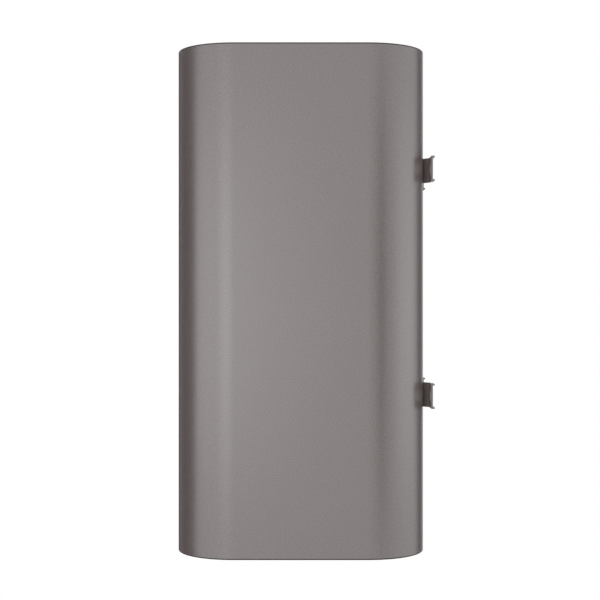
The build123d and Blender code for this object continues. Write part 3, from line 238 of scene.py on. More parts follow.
@dataclass(frozen=True)
class Finish:
    """A surface finish, which makes its material once.

    Its grain shows in roughness and height, and in the colour too, unless that drifts in patches
    of a size of its own.
    """

    name: str
    colour: str
    drift: str
    roughness: tuple[float, float] = (0.5, 0.5)
    size: float = 1.0
    height: float = 0.0
    grain: Grain = Grain.SOFT
    drift_size: Optional[float] = None
    others: tuple[tuple[str, float], ...] = ()

    def material(self) -> bpy.types.Material:
        """Makes the finish's material, or finds the one made before.

        Returns:
            The material, with its node tree.
        """
        known = bpy.data.materials.get(self.name)
        if known is not None:
            return known
        material = blank_material(self.name)
        tree = material.node_tree
        inputs = self.looks(Brush(tree)) | dict(self.others)
        if "Emission Strength" in inputs:
            inputs["Emission Color"] = inputs["Base Color"]
        shader = add_node(tree, "ShaderNodeBsdfPrincipled", inputs=inputs)
        add_node(tree, "ShaderNodeOutputMaterial", inputs={"Surface": shader.outputs["BSDF"]})
        return material

    def looks(self, brush: Brush) -> dict[str, Setting]:
        """Draws the finish's patterns.

        Args:
            brush: What draws in the material's tree.

        Returns:
            What goes into the shader, by input.
        """
        value, share = brush.draw(self.grain, self.size)
        if self.drift_size is not None:
            share = brush.draw(Grain.SOFT, self.drift_size)[1]
        inputs = {
            "Base Color": brush.blend(share, linear(self.colour), linear(self.drift)),
            "Roughness": brush.spread(value, *self.roughness),
        }
        return inputs | ({"Normal": brush.bump((value, self.height))} if self.height else {})


@dataclass(frozen=True)
class PowderCoat(Finish):
    """A baked powder coat with metal flake in it, over steel sheet.

    It gives a warm brown-grey under a neutral, satin gloss that spreads the lamps into soft bands,
    a fine sparkle and the faint peel of baked powder. The flake makes that gloss several times a
    plain plastic's, which a high index of refraction stands for.
    """

    roughness: tuple[float, float] = (0.30, 0.37)
    # The flake is under 0.1 mm; it is drawn 1.1 mm wide, the finest that still shows.
    size: float = 1.1
    height: float = 0.10
    drift_size: float = 170.0
    fleck: str = "#a19c9b"
    fleck_share: float = 0.4
    gloss_index: float = 2.1
    peel_size: float = 2.4
    peel_height: float = 0.008

    def looks(self, brush: Brush) -> dict[str, Setting]:
        """Draws flake, peel and the sheet's faint waves.

        Args:
            brush: What draws in the material's tree.

        Returns:
            What goes into the shader, by input.
        """
        flake = brush.draw(Grain.SOFT, self.size)[0]
        wave, drift = brush.draw(Grain.SOFT, self.drift_size)
        peel = brush.draw(Grain.SOFT, self.peel_size)[0]
        tone = brush.blend(drift, linear(self.colour), linear(self.drift))
        return {
            "Base Color": brush.blend(brush.spread(flake, 0.0, self.fleck_share), tone, linear(self.fleck)),
            "IOR": self.gloss_index,
            "Roughness": brush.spread(flake, *self.roughness),
            "Normal": brush.bump((wave, self.height), (peel, self.peel_height)),
        }


@dataclass(frozen=True)
class BareMetal(Finish):
    """Uncoated metal, whose grain says how it was worked."""

    height: float = 0.005
    others: tuple[tuple[str, float], ...] = (("Metallic", 1.0),)


@dataclass(frozen=True)
class Moulding(Finish):
    """Moulded plastic or rubber, with the texture that its mould left and a slow drift in its colour."""

    size: float = 0.8
    height: float = 0.006
    drift_size: float = 25.0
    others: tuple[tuple[str, float], ...] = (("IOR", 1.49),)


# Painted shade: a dark, matt coat on the rims' bends stands in for the shade along the rolled rims, and rules
# a fine dark line top and bottom.
RIM_PAINTED_SHADE = PowderCoat(
    "painted_shade_on_rim_bend", "#2f2625", "#2b2322", fleck="#3b3433", gloss_index=1.5, roughness=(0.5, 0.6)
)
# Print on the fascia: a flat pale grey ink.
INK = Moulding("pale_grey_screen_ink", "#cfd2d4", "#c8cbcd", (0.5, 0.6), 0.4, 0.001)
# Display segments: cool white and only just glowing, a little uneven as their diffuser is.
SEGMENT = Finish("cool_white_segment", "#e8f2f6", "#dcebf2", size=3.0, others=(("Emission Strength", 0.7),))

SLOT_FINISHES: dict[str, Finish] = {
    # Warm titanium-grey powder; the lamps draw broad soft bands on it.
    "casing_paint": PowderCoat("baked_titanium_grey_powder_coat", "#675a59", "#645756"),
    # A matt powder: the casing's tint with little of its gloss. It is painted lighter than the casing's own
    # paint, as painted light that lifts the shade where the brackets sit against the casing.
    "bracket_paint": PowderCoat(
        "matt_grey_powder_coat_lightened_as_painted_light", "#9b8d8c", "#978a89", gloss_index=1.5, roughness=(0.48, 0.56)
    ),
    # Cool, finely mottled, with quick small highlights.
    "zinc_plate": BareMetal("bright_zinc_plate", "#c9cac8", "#b4b6b5", (0.22, 0.34), 1.2),
    # A patchwork of dull and bright crystals.
    "galvanised_steel": BareMetal(
        "hot_dip_galvanised_sheet", "#b9bcbe", "#9ea2a5", (0.3, 0.5), 9.0, grain=Grain.SPANGLE
    ),
    # Fine lines along the sheet stretch the highlights.
    "tank_steel": BareMetal(
        "cold_rolled_stainless_steel", "#bdbcb9", "#aaa9a6", (0.25, 0.36), 0.5, grain=Grain.BRUSHED
    ),
    # Stainless that the heat has tinted brown.
    "heating_sheath": BareMetal("heat_tinted_stainless_tube", "#8d8073", "#74695f", (0.35, 0.5), 6.0),
    # Pale, matt and slightly pitted.
    "magnesium": BareMetal("cast_magnesium_rod", "#b3b2ae", "#97968f", (0.5, 0.65), 2.0, 0.05),
    # Poured foam: dead matt, pricked with cells that are darker in their middles.
    "foam": Finish("rigid_polyurethane_foam", "#cbb98a", "#e3d3a4", (0.9, 0.9), 1.6, 0.25, Grain.CELLS),
    # Nearly matt, with a dusting that greys it.
    "gasket_rubber": Moulding("moulded_black_rubber", "#262525", "#302f2e", (0.62, 0.75), 0.6, 0.01),
    # Both rings: polypropylene with a soft waxy gloss.
    "blue_plastic": Moulding("blue_polypropylene", "#2463a8", "#1f5b9d", (0.34, 0.42)),
    "red_plastic": Moulding("red_polypropylene", "#b32a26", "#a42320", (0.34, 0.42)),
    # Off-white and satin.
    "white_plastic": Moulding("off_white_nylon", "#dedcd4", "#d3d1c8", (0.45, 0.55)),
    # Service cover and gland: a spark-eroded texture keeps them matt.
    "cover_plastic": Moulding(
        "spark_textured_grey_polypropylene", "#575453", "#514e4d", (0.5, 0.62), 0.9, 0.02
    ),
    "panel_plastic": Moulding("satin_black_abs", "#2a2a2b", "#242425", (0.32, 0.4)),
    # A glossy black printed sheet with the faintest ripple.
    "fascia_film": Moulding("gloss_black_acrylic_sheet", "#131314", "#101011", (0.07, 0.1), 12.0, 0.002),
    # Plated plastic, a satin silver.
    "key_plastic": BareMetal("satin_plated_key_cap", "#c3c3c4", "#b6b6b8", (0.28, 0.36), 0.9, 0.002),
    # What lies behind it shows darkened, with a sharp gloss and a trace of haze on its face.
    "lens_plastic": Finish(
        "smoked_acrylic",
        "#8f949b",
        "#868b92",
        (0.03, 0.06),
        6.0,
        others=(("IOR", 1.49), ("Transmission Weight", 0.92)),
    ),
    # Green lacquer over a glass-fibre board, with its copper tracks showing through.
    "circuit_board": Finish("green_solder_mask", "#2f8a4f", "#1f6b3c", (0.3, 0.3), 5.08, 0.03, Grain.TRACKS),
    # Relays and switches: dull.
    "component_black": Moulding("black_phenolic_moulding", "#2b2b2c", "#232324", (0.5, 0.6)),
    "reset_red": Moulding("gloss_red_abs", "#b3201c", "#a81d19", (0.2, 0.28)),
    # Warm and smooth.
    "copper": BareMetal("drawn_copper_capillary", "#c47c58", "#a9683f", (0.25, 0.4), 3.0),
    # Probe lead and wires: extruded sheaths with a dull sheen.
    "lead_black": Moulding("black_pvc_sheath", "#232323", "#2b2b2b", (0.45, 0.55)),
    "wire_brown": Moulding("brown_pvc_sheath", "#6a3d22", "#5f361e", (0.45, 0.55)),
    "wire_blue": Moulding("blue_pvc_sheath", "#2a5fae", "#2556a0", (0.45, 0.55)),
    "wire_green": Finish("green_and_yellow_pvc_sheath", "#3f8a2a", "#d8cf35", size=4.0, grain=Grain.STRIPES),
    "ribbon_grey": Moulding("grey_ribbon_pvc", "#a5a6a8", "#999a9c", (0.5, 0.6), 1.27, 0.08),
}


# Drawing and finishing meshes


class Draft:
    """A mesh that is being drawn in millimetres."""

    def __init__(self, start: Optional[bpy.types.Mesh] = None, scale: float = 1.0) -> None:
        """Starts a draft.

        Args:
            start: A mesh to start from, if any.
            scale: What the mesh's coordinates are multiplied by to be millimetres.
        """
        self.mesh = bmesh.new()
        if start is not None:
            self.mesh.from_mesh(start)
            bmesh.ops.scale(self.mesh, vec=(scale, scale, scale), verts=self.mesh.verts)

    def ring(self, points: Iterable[Point]) -> list[bmesh.types.BMVert]:
        """Adds points and returns them in order."""
        return [self.mesh.verts.new(point) for point in points]

    def loft(self, rings: Sequence[Sequence[bmesh.types.BMVert]], closed: bool = False) -> None:
        """Joins each ring to the next with a band of faces.

        Args:
            rings: Closed rings of as many points each.
            closed: Whether the last one joins the first; otherwise both ends are capped.
        """
        for first, second in zip(rings, [*rings[1:], rings[0]] if closed else rings[1:]):
            for i in range(len(first)):
                after = (i + 1) % len(first)
                self.mesh.faces.new((first[i], first[after], second[after], second[i]))
        if not closed:
            for ring in (rings[0], rings[-1]):
                self.mesh.faces.new(ring)

    def lathe(self, outline: Sequence[Flat], centre: Flat, steps: int) -> None:
        """Turns a closed outline about an upright axis.

        Args:
            outline: Radii and heights, in order round the section.
            centre: The axis's x and y.
            steps: How many faces go round.
        """
        x, y = centre
        turns = [2 * math.pi * step / steps for step in range(steps)]
        rings = [
            self.ring((x + radius * math.cos(t), y + radius * math.sin(t), height) for t in turns)
            for radius, height in outline
        ]
        self.loft(rings, closed=True)

    def stroke(self, points: Sequence[Flat], width: float, y: float, thickness: float) -> None:
        """Adds a printed line on an upright face that looks towards -Y.

        Args:
            points: The line's middle as x and z.
            width: How wide it is.
            y: The face that it lies on.
            thickness: How far it stands off that face.
        """
        corners = ((1, 0.0), (-1, 0.0), (-1, thickness), (1, thickness))
        rings = []
        for i, (x, z) in enumerate(points):
            before, after = points[max(i - 1, 0)], points[min(i + 1, len(points) - 1)]
            along = Vector((after[0] - before[0], after[1] - before[1])).normalized()
            side = Vector((-along.y, along.x)) * width / 2
            rings.append(self.ring((x + way * side.x, y - out, z + way * side.y) for way, out in corners))
        self.loft(rings)

    def object(self, name: str) -> bpy.types.Object:
        """Makes an object of the draft, still in millimetres, and ends the draft.

        Args:
            name: The object's name.

        Returns:
            The object.
        """
        data = bpy.data.meshes.new(name)
        self.mesh.to_mesh(data)
        self.mesh.free()
        return add_object(name, data)


def settle(obj: bpy.types.Object) -> None:
    """Gives an object the plain mesh that its modifiers make, and removes them.

    Args:
        obj: The object to settle.
    """
    graph = bpy.context.evaluated_depsgraph_get()
    graph.update()
    plain = bpy.data.meshes.new_from_object(obj.evaluated_get(graph))
    obj.modifiers.clear()
    old = obj.data
    obj.data = plain
    plain.name = obj.name
    bpy.data.meshes.remove(old)


@dataclass(frozen=True)
class Fitting:
    """Where a piece belongs in the frame, and how sharp its edges stay.

    Its finish is its slot's, unless it is given one of its own.
    """

    slot: str
    replaces: tuple[str, ...] = ()
    finish: Optional[Finish] = None
    body: str = BODY
    edge_angle: float = 32.0
    bevel: float = 0.0
    bevel_steps: int = 2

    def fit(self, obj: bpy.types.Object) -> bpy.types.Object:
        """Finishes an object that is drawn in millimetres, and ties it to its body.

        Args:
            obj: The object, with its modifiers gone.

        Returns:
            The same object, in metres.
        """
        draft = bmesh.new()
        draft.from_mesh(obj.data)
        bmesh.ops.remove_doubles(draft, verts=draft.verts, dist=DRAWN_WELD)
        bmesh.ops.recalc_face_normals(draft, faces=draft.faces)
        bmesh.ops.scale(draft, vec=(MM, MM, MM), verts=draft.verts)
        draft.to_mesh(obj.data)
        draft.free()
        if self.bevel:
            obj.data.shade_smooth()
            bevel = obj.modifiers.new("broken_edges", "BEVEL")
            bevel.width, bevel.segments, bevel.limit_method = self.bevel * MM, self.bevel_steps, "ANGLE"
            bevel.angle_limit = math.radians(self.edge_angle)
            settle(obj)
        obj.data.shade_smooth()
        obj.data.set_sharp_from_angle(angle=math.radians(self.edge_angle))
        even = obj.modifiers.new("even_shading", "WEIGHTED_NORMAL")
        even.keep_sharp = True
        settle(obj)
        obj.data.materials.clear()
        obj.data.materials.append((self.finish or SLOT_FINISHES[self.slot]).material())
        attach(obj, self.body)
        if self.replaces:
            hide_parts(*self.replaces)
        return obj


class NodeForm:
    """A Geometry Nodes tree with named inputs, which is run once into a plain mesh."""

    def __init__(self, name: str, sizes: dict[str, float]) -> None:
        """Starts a tree that takes a mesh and the named sizes.

        Args:
            name: The tree's name.
            sizes: The value that each named input gets.
        """
        self.sizes = sizes
        self.tree = bpy.data.node_groups.new(name, "GeometryNodeTree")
        self.tree.is_modifier = True
        self.tree.interface.new_socket("Mesh", in_out="INPUT", socket_type="NodeSocketGeometry")
        for size, value in sizes.items():
            kind = "NodeSocketInt" if isinstance(value, int) else "NodeSocketFloat"
            self.tree.interface.new_socket(size, in_out="INPUT", socket_type=kind)
        self.tree.interface.new_socket("Mesh", in_out="OUTPUT", socket_type="NodeSocketGeometry")
        self.given = add_node(self.tree, "NodeGroupInput").outputs

    def add(self, kind: str, settings: Optional[dict] = None, **inputs: Setting) -> Socket:
        """Adds a geometry node and returns its first output; an input's name has _ for a space."""
        named = {name.replace("_", " "): value for name, value in inputs.items()}
        return add_node(self.tree, f"GeometryNode{kind}", settings, named).outputs[0]

    def math(self, operation: str, first: Setting, second: Setting) -> Socket:
        """Adds a step of arithmetic and returns its result."""
        inputs = {0: first, 1: second}
        return add_node(self.tree, "ShaderNodeMath", {"operation": operation}, inputs).outputs[0]

    def vector(self, **parts: Setting) -> Socket:
        """Adds a vector of the parts that are given, and zero for the others."""
        return add_node(self.tree, "ShaderNodeCombineXYZ", inputs=parts).outputs[0]

    def rounded(self, *sizes: str) -> Socket:
        """Adds a rectangle with rounded corners.

        Args:
            sizes: The named inputs that give its width, height, corner radius and steps per corner.

        Returns:
            Its curve.
        """
        width, height, radius, steps = (self.given[size] for size in sizes)
        box = self.add("CurvePrimitiveQuadrilateral", Width=width, Height=height)
        return self.add("FilletCurve", {"mode": "POLY"}, Curve=box, Count=steps, Radius=radius)

    def tube(self, curve: Socket, section: Socket) -> Socket:
        """Sweeps a section along a curve and closes the ends."""
        return self.add("CurveToMesh", Curve=curve, Profile_Curve=section, Fill_Caps=True)

    def prism(self, sides: int, foot: Setting, top: Setting, height: Setting) -> Socket:
        """Adds an upright prism or cone on the origin, with a radius for its foot and one for its top."""
        return self.add("MeshCone", Vertices=sides, Radius_Top=top, Radius_Bottom=foot, Depth=height)

    def moved(self, geometry: Socket, by: Setting) -> Socket:
        """Moves geometry by a vector."""
        return self.add("Transform", Geometry=geometry, Translation=by)

    def finish(self, geometry: Socket, slot: str) -> None:
        """Ends the tree in Realize Instances and Set Material.

        Args:
            geometry: What the tree has made.
            slot: The slot whose finish it gets.
        """
        real = self.add("RealizeInstances", Geometry=geometry)
        dressed = self.add("SetMaterial", Geometry=real, Material=SLOT_FINISHES[slot].material())
        add_node(self.tree, "NodeGroupOutput", inputs={"Mesh": dressed})

    def run(self, obj: bpy.types.Object) -> bpy.types.Object:
        """Runs the tree on an object and leaves the result as its plain mesh.

        Args:
            obj: The object whose mesh goes in.

        Returns:
            The same object.
        """
        modifier = obj.modifiers.new(self.tree.name, "NODES")
        modifier.node_group = self.tree
        for item in self.tree.interface.items_tree:
            if item.item_type == "SOCKET" and item.in_out == "INPUT" and item.name in self.sizes:
                modifier[item.identifier] = self.sizes[item.name]
        settle(obj)
        return obj


def softened(node: str, name: str, slot: str, edge: float) -> bpy.types.Object:
    """Replaces a node of the frame by a copy whose sharp edges are broken.

    Args:
        node: The node to copy.
        name: The new piece's name.
        slot: Its material slot.
        edge: How wide its broken edges are.

    Returns:
        The finished piece.
    """
    draft = Draft(frame["nodes"][node].data, 1 / MM)
    bmesh.ops.remove_doubles(draft.mesh, verts=draft.mesh.verts, dist=FRAME_WELD)
    flat = math.radians(FLAT_ANGLE)
    bmesh.ops.dissolve_limit(draft.mesh, angle_limit=flat, verts=draft.mesh.verts, edges=draft.mesh.edges)
    return Fitting(slot, (node,), bevel=edge).fit(draft.object(name))


# The heater's sub-assemblies


class Assembly(ABC):
    """A sub-assembly of the heater that gets shapes of its own."""

    @abstractmethod
    def build(self) -> list[bpy.types.Object]:
        """Draws and finishes the sub-assembly's pieces.

        Returns:
            The finished pieces.
        """


@dataclass
class CasingWrap(Assembly):
    """The bent steel sheet round the heater, its ends turned in as rims."""

    width: float = 493.0
    depth: float = 280.0
    height: float = 570.0
    corner: float = 66.0
    sheet: float = 1.0
    rim: float = 5.0
    rim_radius: float = 1.6
    middle_y: float = -148.7
    low_z: float = -306.3
    corner_steps: int = 36
    rim_steps: int = 6
    window: Point = (316.0, 44.0, 4.0)
    window_steps: int = 8
    window_reach: float = 5.0
    window_z: float = -249.3
    seam_half: float = 5.0
    seam_proud: float = 0.9
    seam_edge: float = 0.45
    level_normal: float = 0.97

    def section(self) -> list[Flat]:
        """The sheet's section, up its outside and down its inside.

        Returns:
            Distances in from the outline, with heights above the lower rim.
        """
        turns = [math.pi / 2 * step / self.rim_steps for step in range(self.rim_steps + 1)]
        lower = [(self.rim_radius * (1 - math.sin(t)), self.rim_radius * (1 - math.cos(t))) for t in turns]
        upper = [(inset, self.height - height) for inset, height in reversed(lower)]
        rim, wall, top = self.rim, self.sheet, self.height
        inside = [(rim, top), (rim, top - wall), (wall, top - wall), (wall, wall), (rim, wall), (rim, 0.0)]
        return lower + upper + inside

    def sweep(self) -> NodeForm:
        """The tree that sweeps the section round the casing's plan and cuts the panel's window.

        Returns:
            The tree, ready to run on the section.
        """
        width, height, radius = self.window
        sizes = {
            "Width": self.width,
            "Depth": self.depth,
            "Corner Radius": self.corner,
            "Corner Steps": self.corner_steps,
            "Window Width": width,
            "Window Height": height,
            "Window Radius": radius,
            "Window Steps": self.window_steps,
        }
        form = NodeForm("casing_sweep", sizes)
        plan = form.rounded("Width", "Depth", "Corner Radius", "Corner Steps")
        section = form.add("MeshToCurve", Mesh=form.given["Mesh"])
        swept = form.add("CurveToMesh", Curve=plan, Profile_Curve=section)
        placed = form.moved(swept, (0.0, self.middle_y, self.low_z))
        window = form.rounded("Window Width", "Window Height", "Window Radius", "Window Steps")
        reach = self.window_reach
        line = form.add("CurvePrimitiveLine", Start=(0.0, 0.0, -reach), End=(0.0, 0.0, reach))
        stood = form.add(
            "Transform",
            Geometry=form.tube(line, window),
            Rotation=(math.pi / 2, 0.0, 0.0),
            Translation=(0.0, self.middle_y - self.depth / 2, self.window_z),
        )
        cut = form.add("MeshBoolean", {"operation": "DIFFERENCE"}, Mesh_1=placed, Mesh_2=stood)
        form.finish(cut, "casing_paint")
        return form

    def seam(self, draft: Draft) -> None:
        """Adds the folded lock seam that closes the sheet down the middle of its back.

        Args:
            draft: The casing's mesh.
        """
        back = self.middle_y + self.depth / 2
        half, edge, proud = self.seam_half, self.seam_edge, back + self.seam_proud
        right = [(half - edge, proud), (half, proud - edge), (half, back - self.sheet / 2)]
        outline = [(-x, y) for x, y in reversed(right)] + right
        ends = (self.low_z + self.rim_radius, self.low_z + self.height - self.rim_radius)
        draft.loft([draft.ring((x, y, z) for x, y in outline) for z in ends])

    def paint_rim_shade(self, casing: bpy.types.Object) -> None:
        """Paints shade on the rims' bends, as a darker, matt coat that draws a fine dark line.

        Args:
            casing: The finished casing.
        """
        casing.data.materials.append(RIM_PAINTED_SHADE.material())
        low, high = self.low_z + self.rim_radius, self.low_z + self.height - self.rim_radius
        for face in casing.data.polygons:
            bent = not low < face.center.z / MM < high and abs(face.normal.z) < self.level_normal
            face.material_index = int(bent)

    def build(self) -> list[bpy.types.Object]:
        """Sweeps the casing, adds its seam and dresses it.

        Returns:
            The finished casing.
        """
        draft = Draft()
        # A section's +X lies outwards of the plan and its +Y points down.
        section = draft.ring((-inset, -height, 0.0) for inset, height in self.section())
        for i, vert in enumerate(section):
            draft.mesh.edges.new((vert, section[(i + 1) % len(section)]))
        obj = self.sweep().run(draft.object("casing_wrap_sheet"))
        seamed = Draft(obj.data)
        self.seam(seamed)
        seamed.mesh.to_mesh(obj.data)
        seamed.mesh.free()
        casing = Fitting("casing_paint", ("casing_wrap",)).fit(obj)
        # Painted shade on the rims' bends: a darker, matt coat.
        self.paint_rim_shade(casing)
        return [casing]


@dataclass
class WallBrackets(Assembly):
    """The four stamped brackets, their cut edges broken, and their screws."""

    broken_edge: float = 0.3
    base_face: float = -6.9
    screw_end: float = -18.7
    screws_x: tuple[float, ...] = (132.8, 152.8)
    screws_z: float = 128.5
    across: float = 10.0
    head: float = 4.0
    shank: float = 3.0
    crown_share: float = 0.88
    prism_share: float = 0.82
    round_steps: int = 24
    seed: int = 5

    def screws(self) -> NodeForm:
        """The tree that puts a hexagon screw at each point, turned at random as they stop.

        Returns:
            The tree, ready to run on the points.
        """
        sizes = {
            "Across Flats": self.across,
            "Head Height": self.head,
            "Shank Radius": self.shank,
            "Shank Length": self.base_face - self.screw_end,
            "Seed": self.seed,
        }
        form = NodeForm("hexagon_screws", sizes)
        across, head, shank, length, seed = (form.given[size] for size in sizes)
        corner = form.math("DIVIDE", across, 2 * math.cos(math.pi / 6))
        flats = form.math("MULTIPLY", across, 0.5)
        crown = form.math("MULTIPLY", flats, self.crown_share)
        low = form.math("MULTIPLY", head, self.prism_share)
        dome = form.prism(self.round_steps, flats, crown, form.math("SUBTRACT", head, low))
        raised = form.moved(dome, form.vector(Z=low))
        bar = form.prism(self.round_steps, shank, shank, length)
        sunk = form.moved(bar, form.vector(Z=form.math("MULTIPLY", length, -1.0)))
        screw = form.add("JoinGeometry", Geometry=[form.prism(6, corner, corner, low), raised, sunk])
        turns = {2: 0.0, 3: math.pi / 3, "Seed": seed}
        turn = add_node(form.tree, "FunctionNodeRandomValue", {"data_type": "FLOAT"}, turns).outputs[1]
        facing = form.vector(X=-math.pi / 2, Y=turn)
        driven = form.add("InstanceOnPoints", Points=form.given["Mesh"], Instance=screw, Rotation=facing)
        form.finish(driven, "zinc_plate")
        return form

    def build(self) -> list[bpy.types.Object]:
        """Breaks the brackets' edges and drives their screws.

        Returns:
            The finished pieces.
        """
        pieces = []
        for height in ("upper", "lower"):
            for side in ("left", "right"):
                node = f"bracket_{height}_{side}"
                pieces.append(softened(node, f"{node}_stamping", "bracket_paint", self.broken_edge))
        draft = Draft()
        heights = (-self.screws_z, self.screws_z)
        draft.ring((side * x, self.base_face, z) for side in (-1, 1) for x in self.screws_x for z in heights)
        obj = self.screws().run(draft.object("bracket_hexagon_screws"))
        pieces.append(Fitting("zinc_plate", ("bracket_screws",)).fit(obj))
        return pieces


@dataclass
class PipeNipples(Assembly):
    """The cold inlet and the hot outlet: threaded nipples welded into the tanks."""

    from_middle: float = 50.0
    y: float = -93.7
    low_z: float = -320.3
    crest: float = 10.48
    bore: float = 7.5
    depth: float = 1.16
    pitch: float = 1.814
    thread: float = 14.4
    pipe: float = 10.65
    nipple_top: float = -178.3
    steps: int = 48
    ridge_share: float = 0.8
    ridge_sides: int = 3
    runout: float = 2.6
    shoulder: float = 0.4
    chamfer: float = 0.7

    def threads(self) -> NodeForm:
        """The tree that winds a thread round each nipple.

        Returns:
            The tree, which keeps the mesh it is run on and adds the threads.
        """
        sizes = {
            "Crest Radius": self.crest,
            "Thread Depth": self.depth,
            "Pitch": self.pitch,
            "Thread Length": self.thread,
        }
        form = NodeForm("pipe_threads", sizes)
        crest, depth, pitch, length = (form.given[size] for size in sizes)
        reach = form.math("MULTIPLY", depth, self.ridge_share)
        root = form.math("SUBTRACT", crest, reach)
        climb = form.math("SUBTRACT", length, pitch)
        turns = form.math("DIVIDE", climb, pitch)
        ends = {"Start_Radius": root, "End_Radius": root}
        helix = form.add("CurveSpiral", Resolution=self.steps, Rotations=turns, Height=climb, **ends)
        upright = form.add("SetCurveNormal", {"mode": "Z_UP"}, Curve=helix)
        ridge = form.add("CurvePrimitiveCircle", Resolution=self.ridge_sides, Radius=reach)
        rise = form.vector(Z=form.math("MULTIPLY", pitch, 0.5))
        wound = form.moved(form.tube(upright, ridge), rise)
        first, last = ((side * self.from_middle, self.y, self.low_z) for side in (-1, 1))
        points = form.add("MeshLine", {"mode": "END_POINTS"}, Count=2, Start_Location=first, Offset=last)
        placed = form.add("InstanceOnPoints", Points=points, Instance=wound)
        real = form.add("RealizeInstances", Geometry=placed)
        form.finish(form.add("JoinGeometry", Geometry=[form.given["Mesh"], real]), "tank_steel")
        return form

    def build(self) -> list[bpy.types.Object]:
        """Turns both nipples and winds their threads.

        Returns:
            The finished nipples.
        """
        core = self.crest - self.depth
        neck = self.low_z + self.thread + self.runout
        outline = [
            (self.bore, self.low_z),
            (core - self.chamfer, self.low_z),
            (core, self.low_z + self.chamfer),
            (core, neck),
            (self.pipe, neck + self.shoulder),
            (self.pipe, self.nipple_top),
            (self.bore, self.nipple_top),
        ]
        draft = Draft()
        for side in (-1, 1):
            draft.lathe(outline, (side * self.from_middle, self.y), self.steps)
        obj = self.threads().run(draft.object("threaded_nipples"))
        return [Fitting("tank_steel", ("cold_inlet", "hot_outlet")).fit(obj)]


@dataclass
class CordGland(Assembly):
    """The cable gland under the casing: a hexagon body and a ribbed clamping nut."""

    y: float = -93.7
    low_z: float = -317.6
    height: float = 13.0
    radius: float = 10.5
    inside: float = 8.3
    mouth: float = 4.6
    floor: float = 3.0
    ribs: int = 20
    rib_depth: float = 0.7
    steps: int = 60
    rib_sides: int = 8
    rib_foot: float = 3.2
    rib_short: float = 4.2
    dome: float = 3.0
    dome_steps: int = 6
    mouth_edge: float = 0.6
    flange: Flat = (1.0, 0.8)
    body_edge: float = 0.4

    def ribbing(self) -> NodeForm:
        """The tree that sets grip ribs round the nut.

        Returns:
            The tree, which keeps the mesh it is run on and adds the ribs.
        """
        sizes = {
            "Rib Count": self.ribs,
            "Outer Radius": self.radius,
            "Rib Depth": self.rib_depth,
            "Rib Length": self.height - self.rib_short,
        }
        form = NodeForm("gland_grip_ribs", sizes)
        count, outer, depth, length = (form.given[size] for size in sizes)
        circle = form.add("MeshCircle", Vertices=count, Radius=form.math("SUBTRACT", outer, depth))
        rib = form.prism(self.rib_sides, depth, depth, length)
        placed = form.add("InstanceOnPoints", Points=circle, Instance=rib)
        real = form.add("RealizeInstances", Geometry=placed)
        lowered = form.moved(real, (0.0, self.y, self.low_z + self.rib_foot))
        form.finish(form.add("JoinGeometry", Geometry=[form.given["Mesh"], lowered]), "cover_plastic")
        return form

    def build(self) -> list[bpy.types.Object]:
        """Turns the nut, ribs it, and breaks the edges of the gland's body.

        Returns:
            The finished pieces.
        """
        body, dome = self.radius - self.rib_depth, self.dome
        top = self.low_z + self.height
        floor = self.low_z + self.floor
        turns = [math.pi / 2 * step / self.dome_steps for step in range(self.dome_steps + 1)]
        outline = [
            (self.mouth, self.low_z + self.mouth_edge),
            (self.mouth + self.mouth_edge, self.low_z),
            *((body - dome + dome * math.sin(t), self.low_z + dome - dome * math.cos(t)) for t in turns),
            (body, top - self.flange[0]),
            (self.radius, top - self.flange[1]),
            (self.radius, top),
            (self.inside, top),
            (self.inside, floor),
            (self.mouth, floor),
        ]
        draft = Draft()
        draft.lathe(outline, (0.0, self.y), self.steps)
        nut = self.ribbing().run(draft.object("gland_clamping_nut"))
        return [
            Fitting("cover_plastic", ("gland_nut",)).fit(nut),
            softened("gland_body", "gland_hexagon_body", "cover_plastic", self.body_edge),
        ]


@dataclass
class ServiceCover(Assembly):
    """The plastic cover over the electrics, its moulded edges rounded."""

    broken_edge: float = 0.4

    def build(self) -> list[bpy.types.Object]:
        """Rounds the cover's edges."""
        return [softened("service_cover", "service_cover_moulding", "cover_plastic", self.broken_edge)]


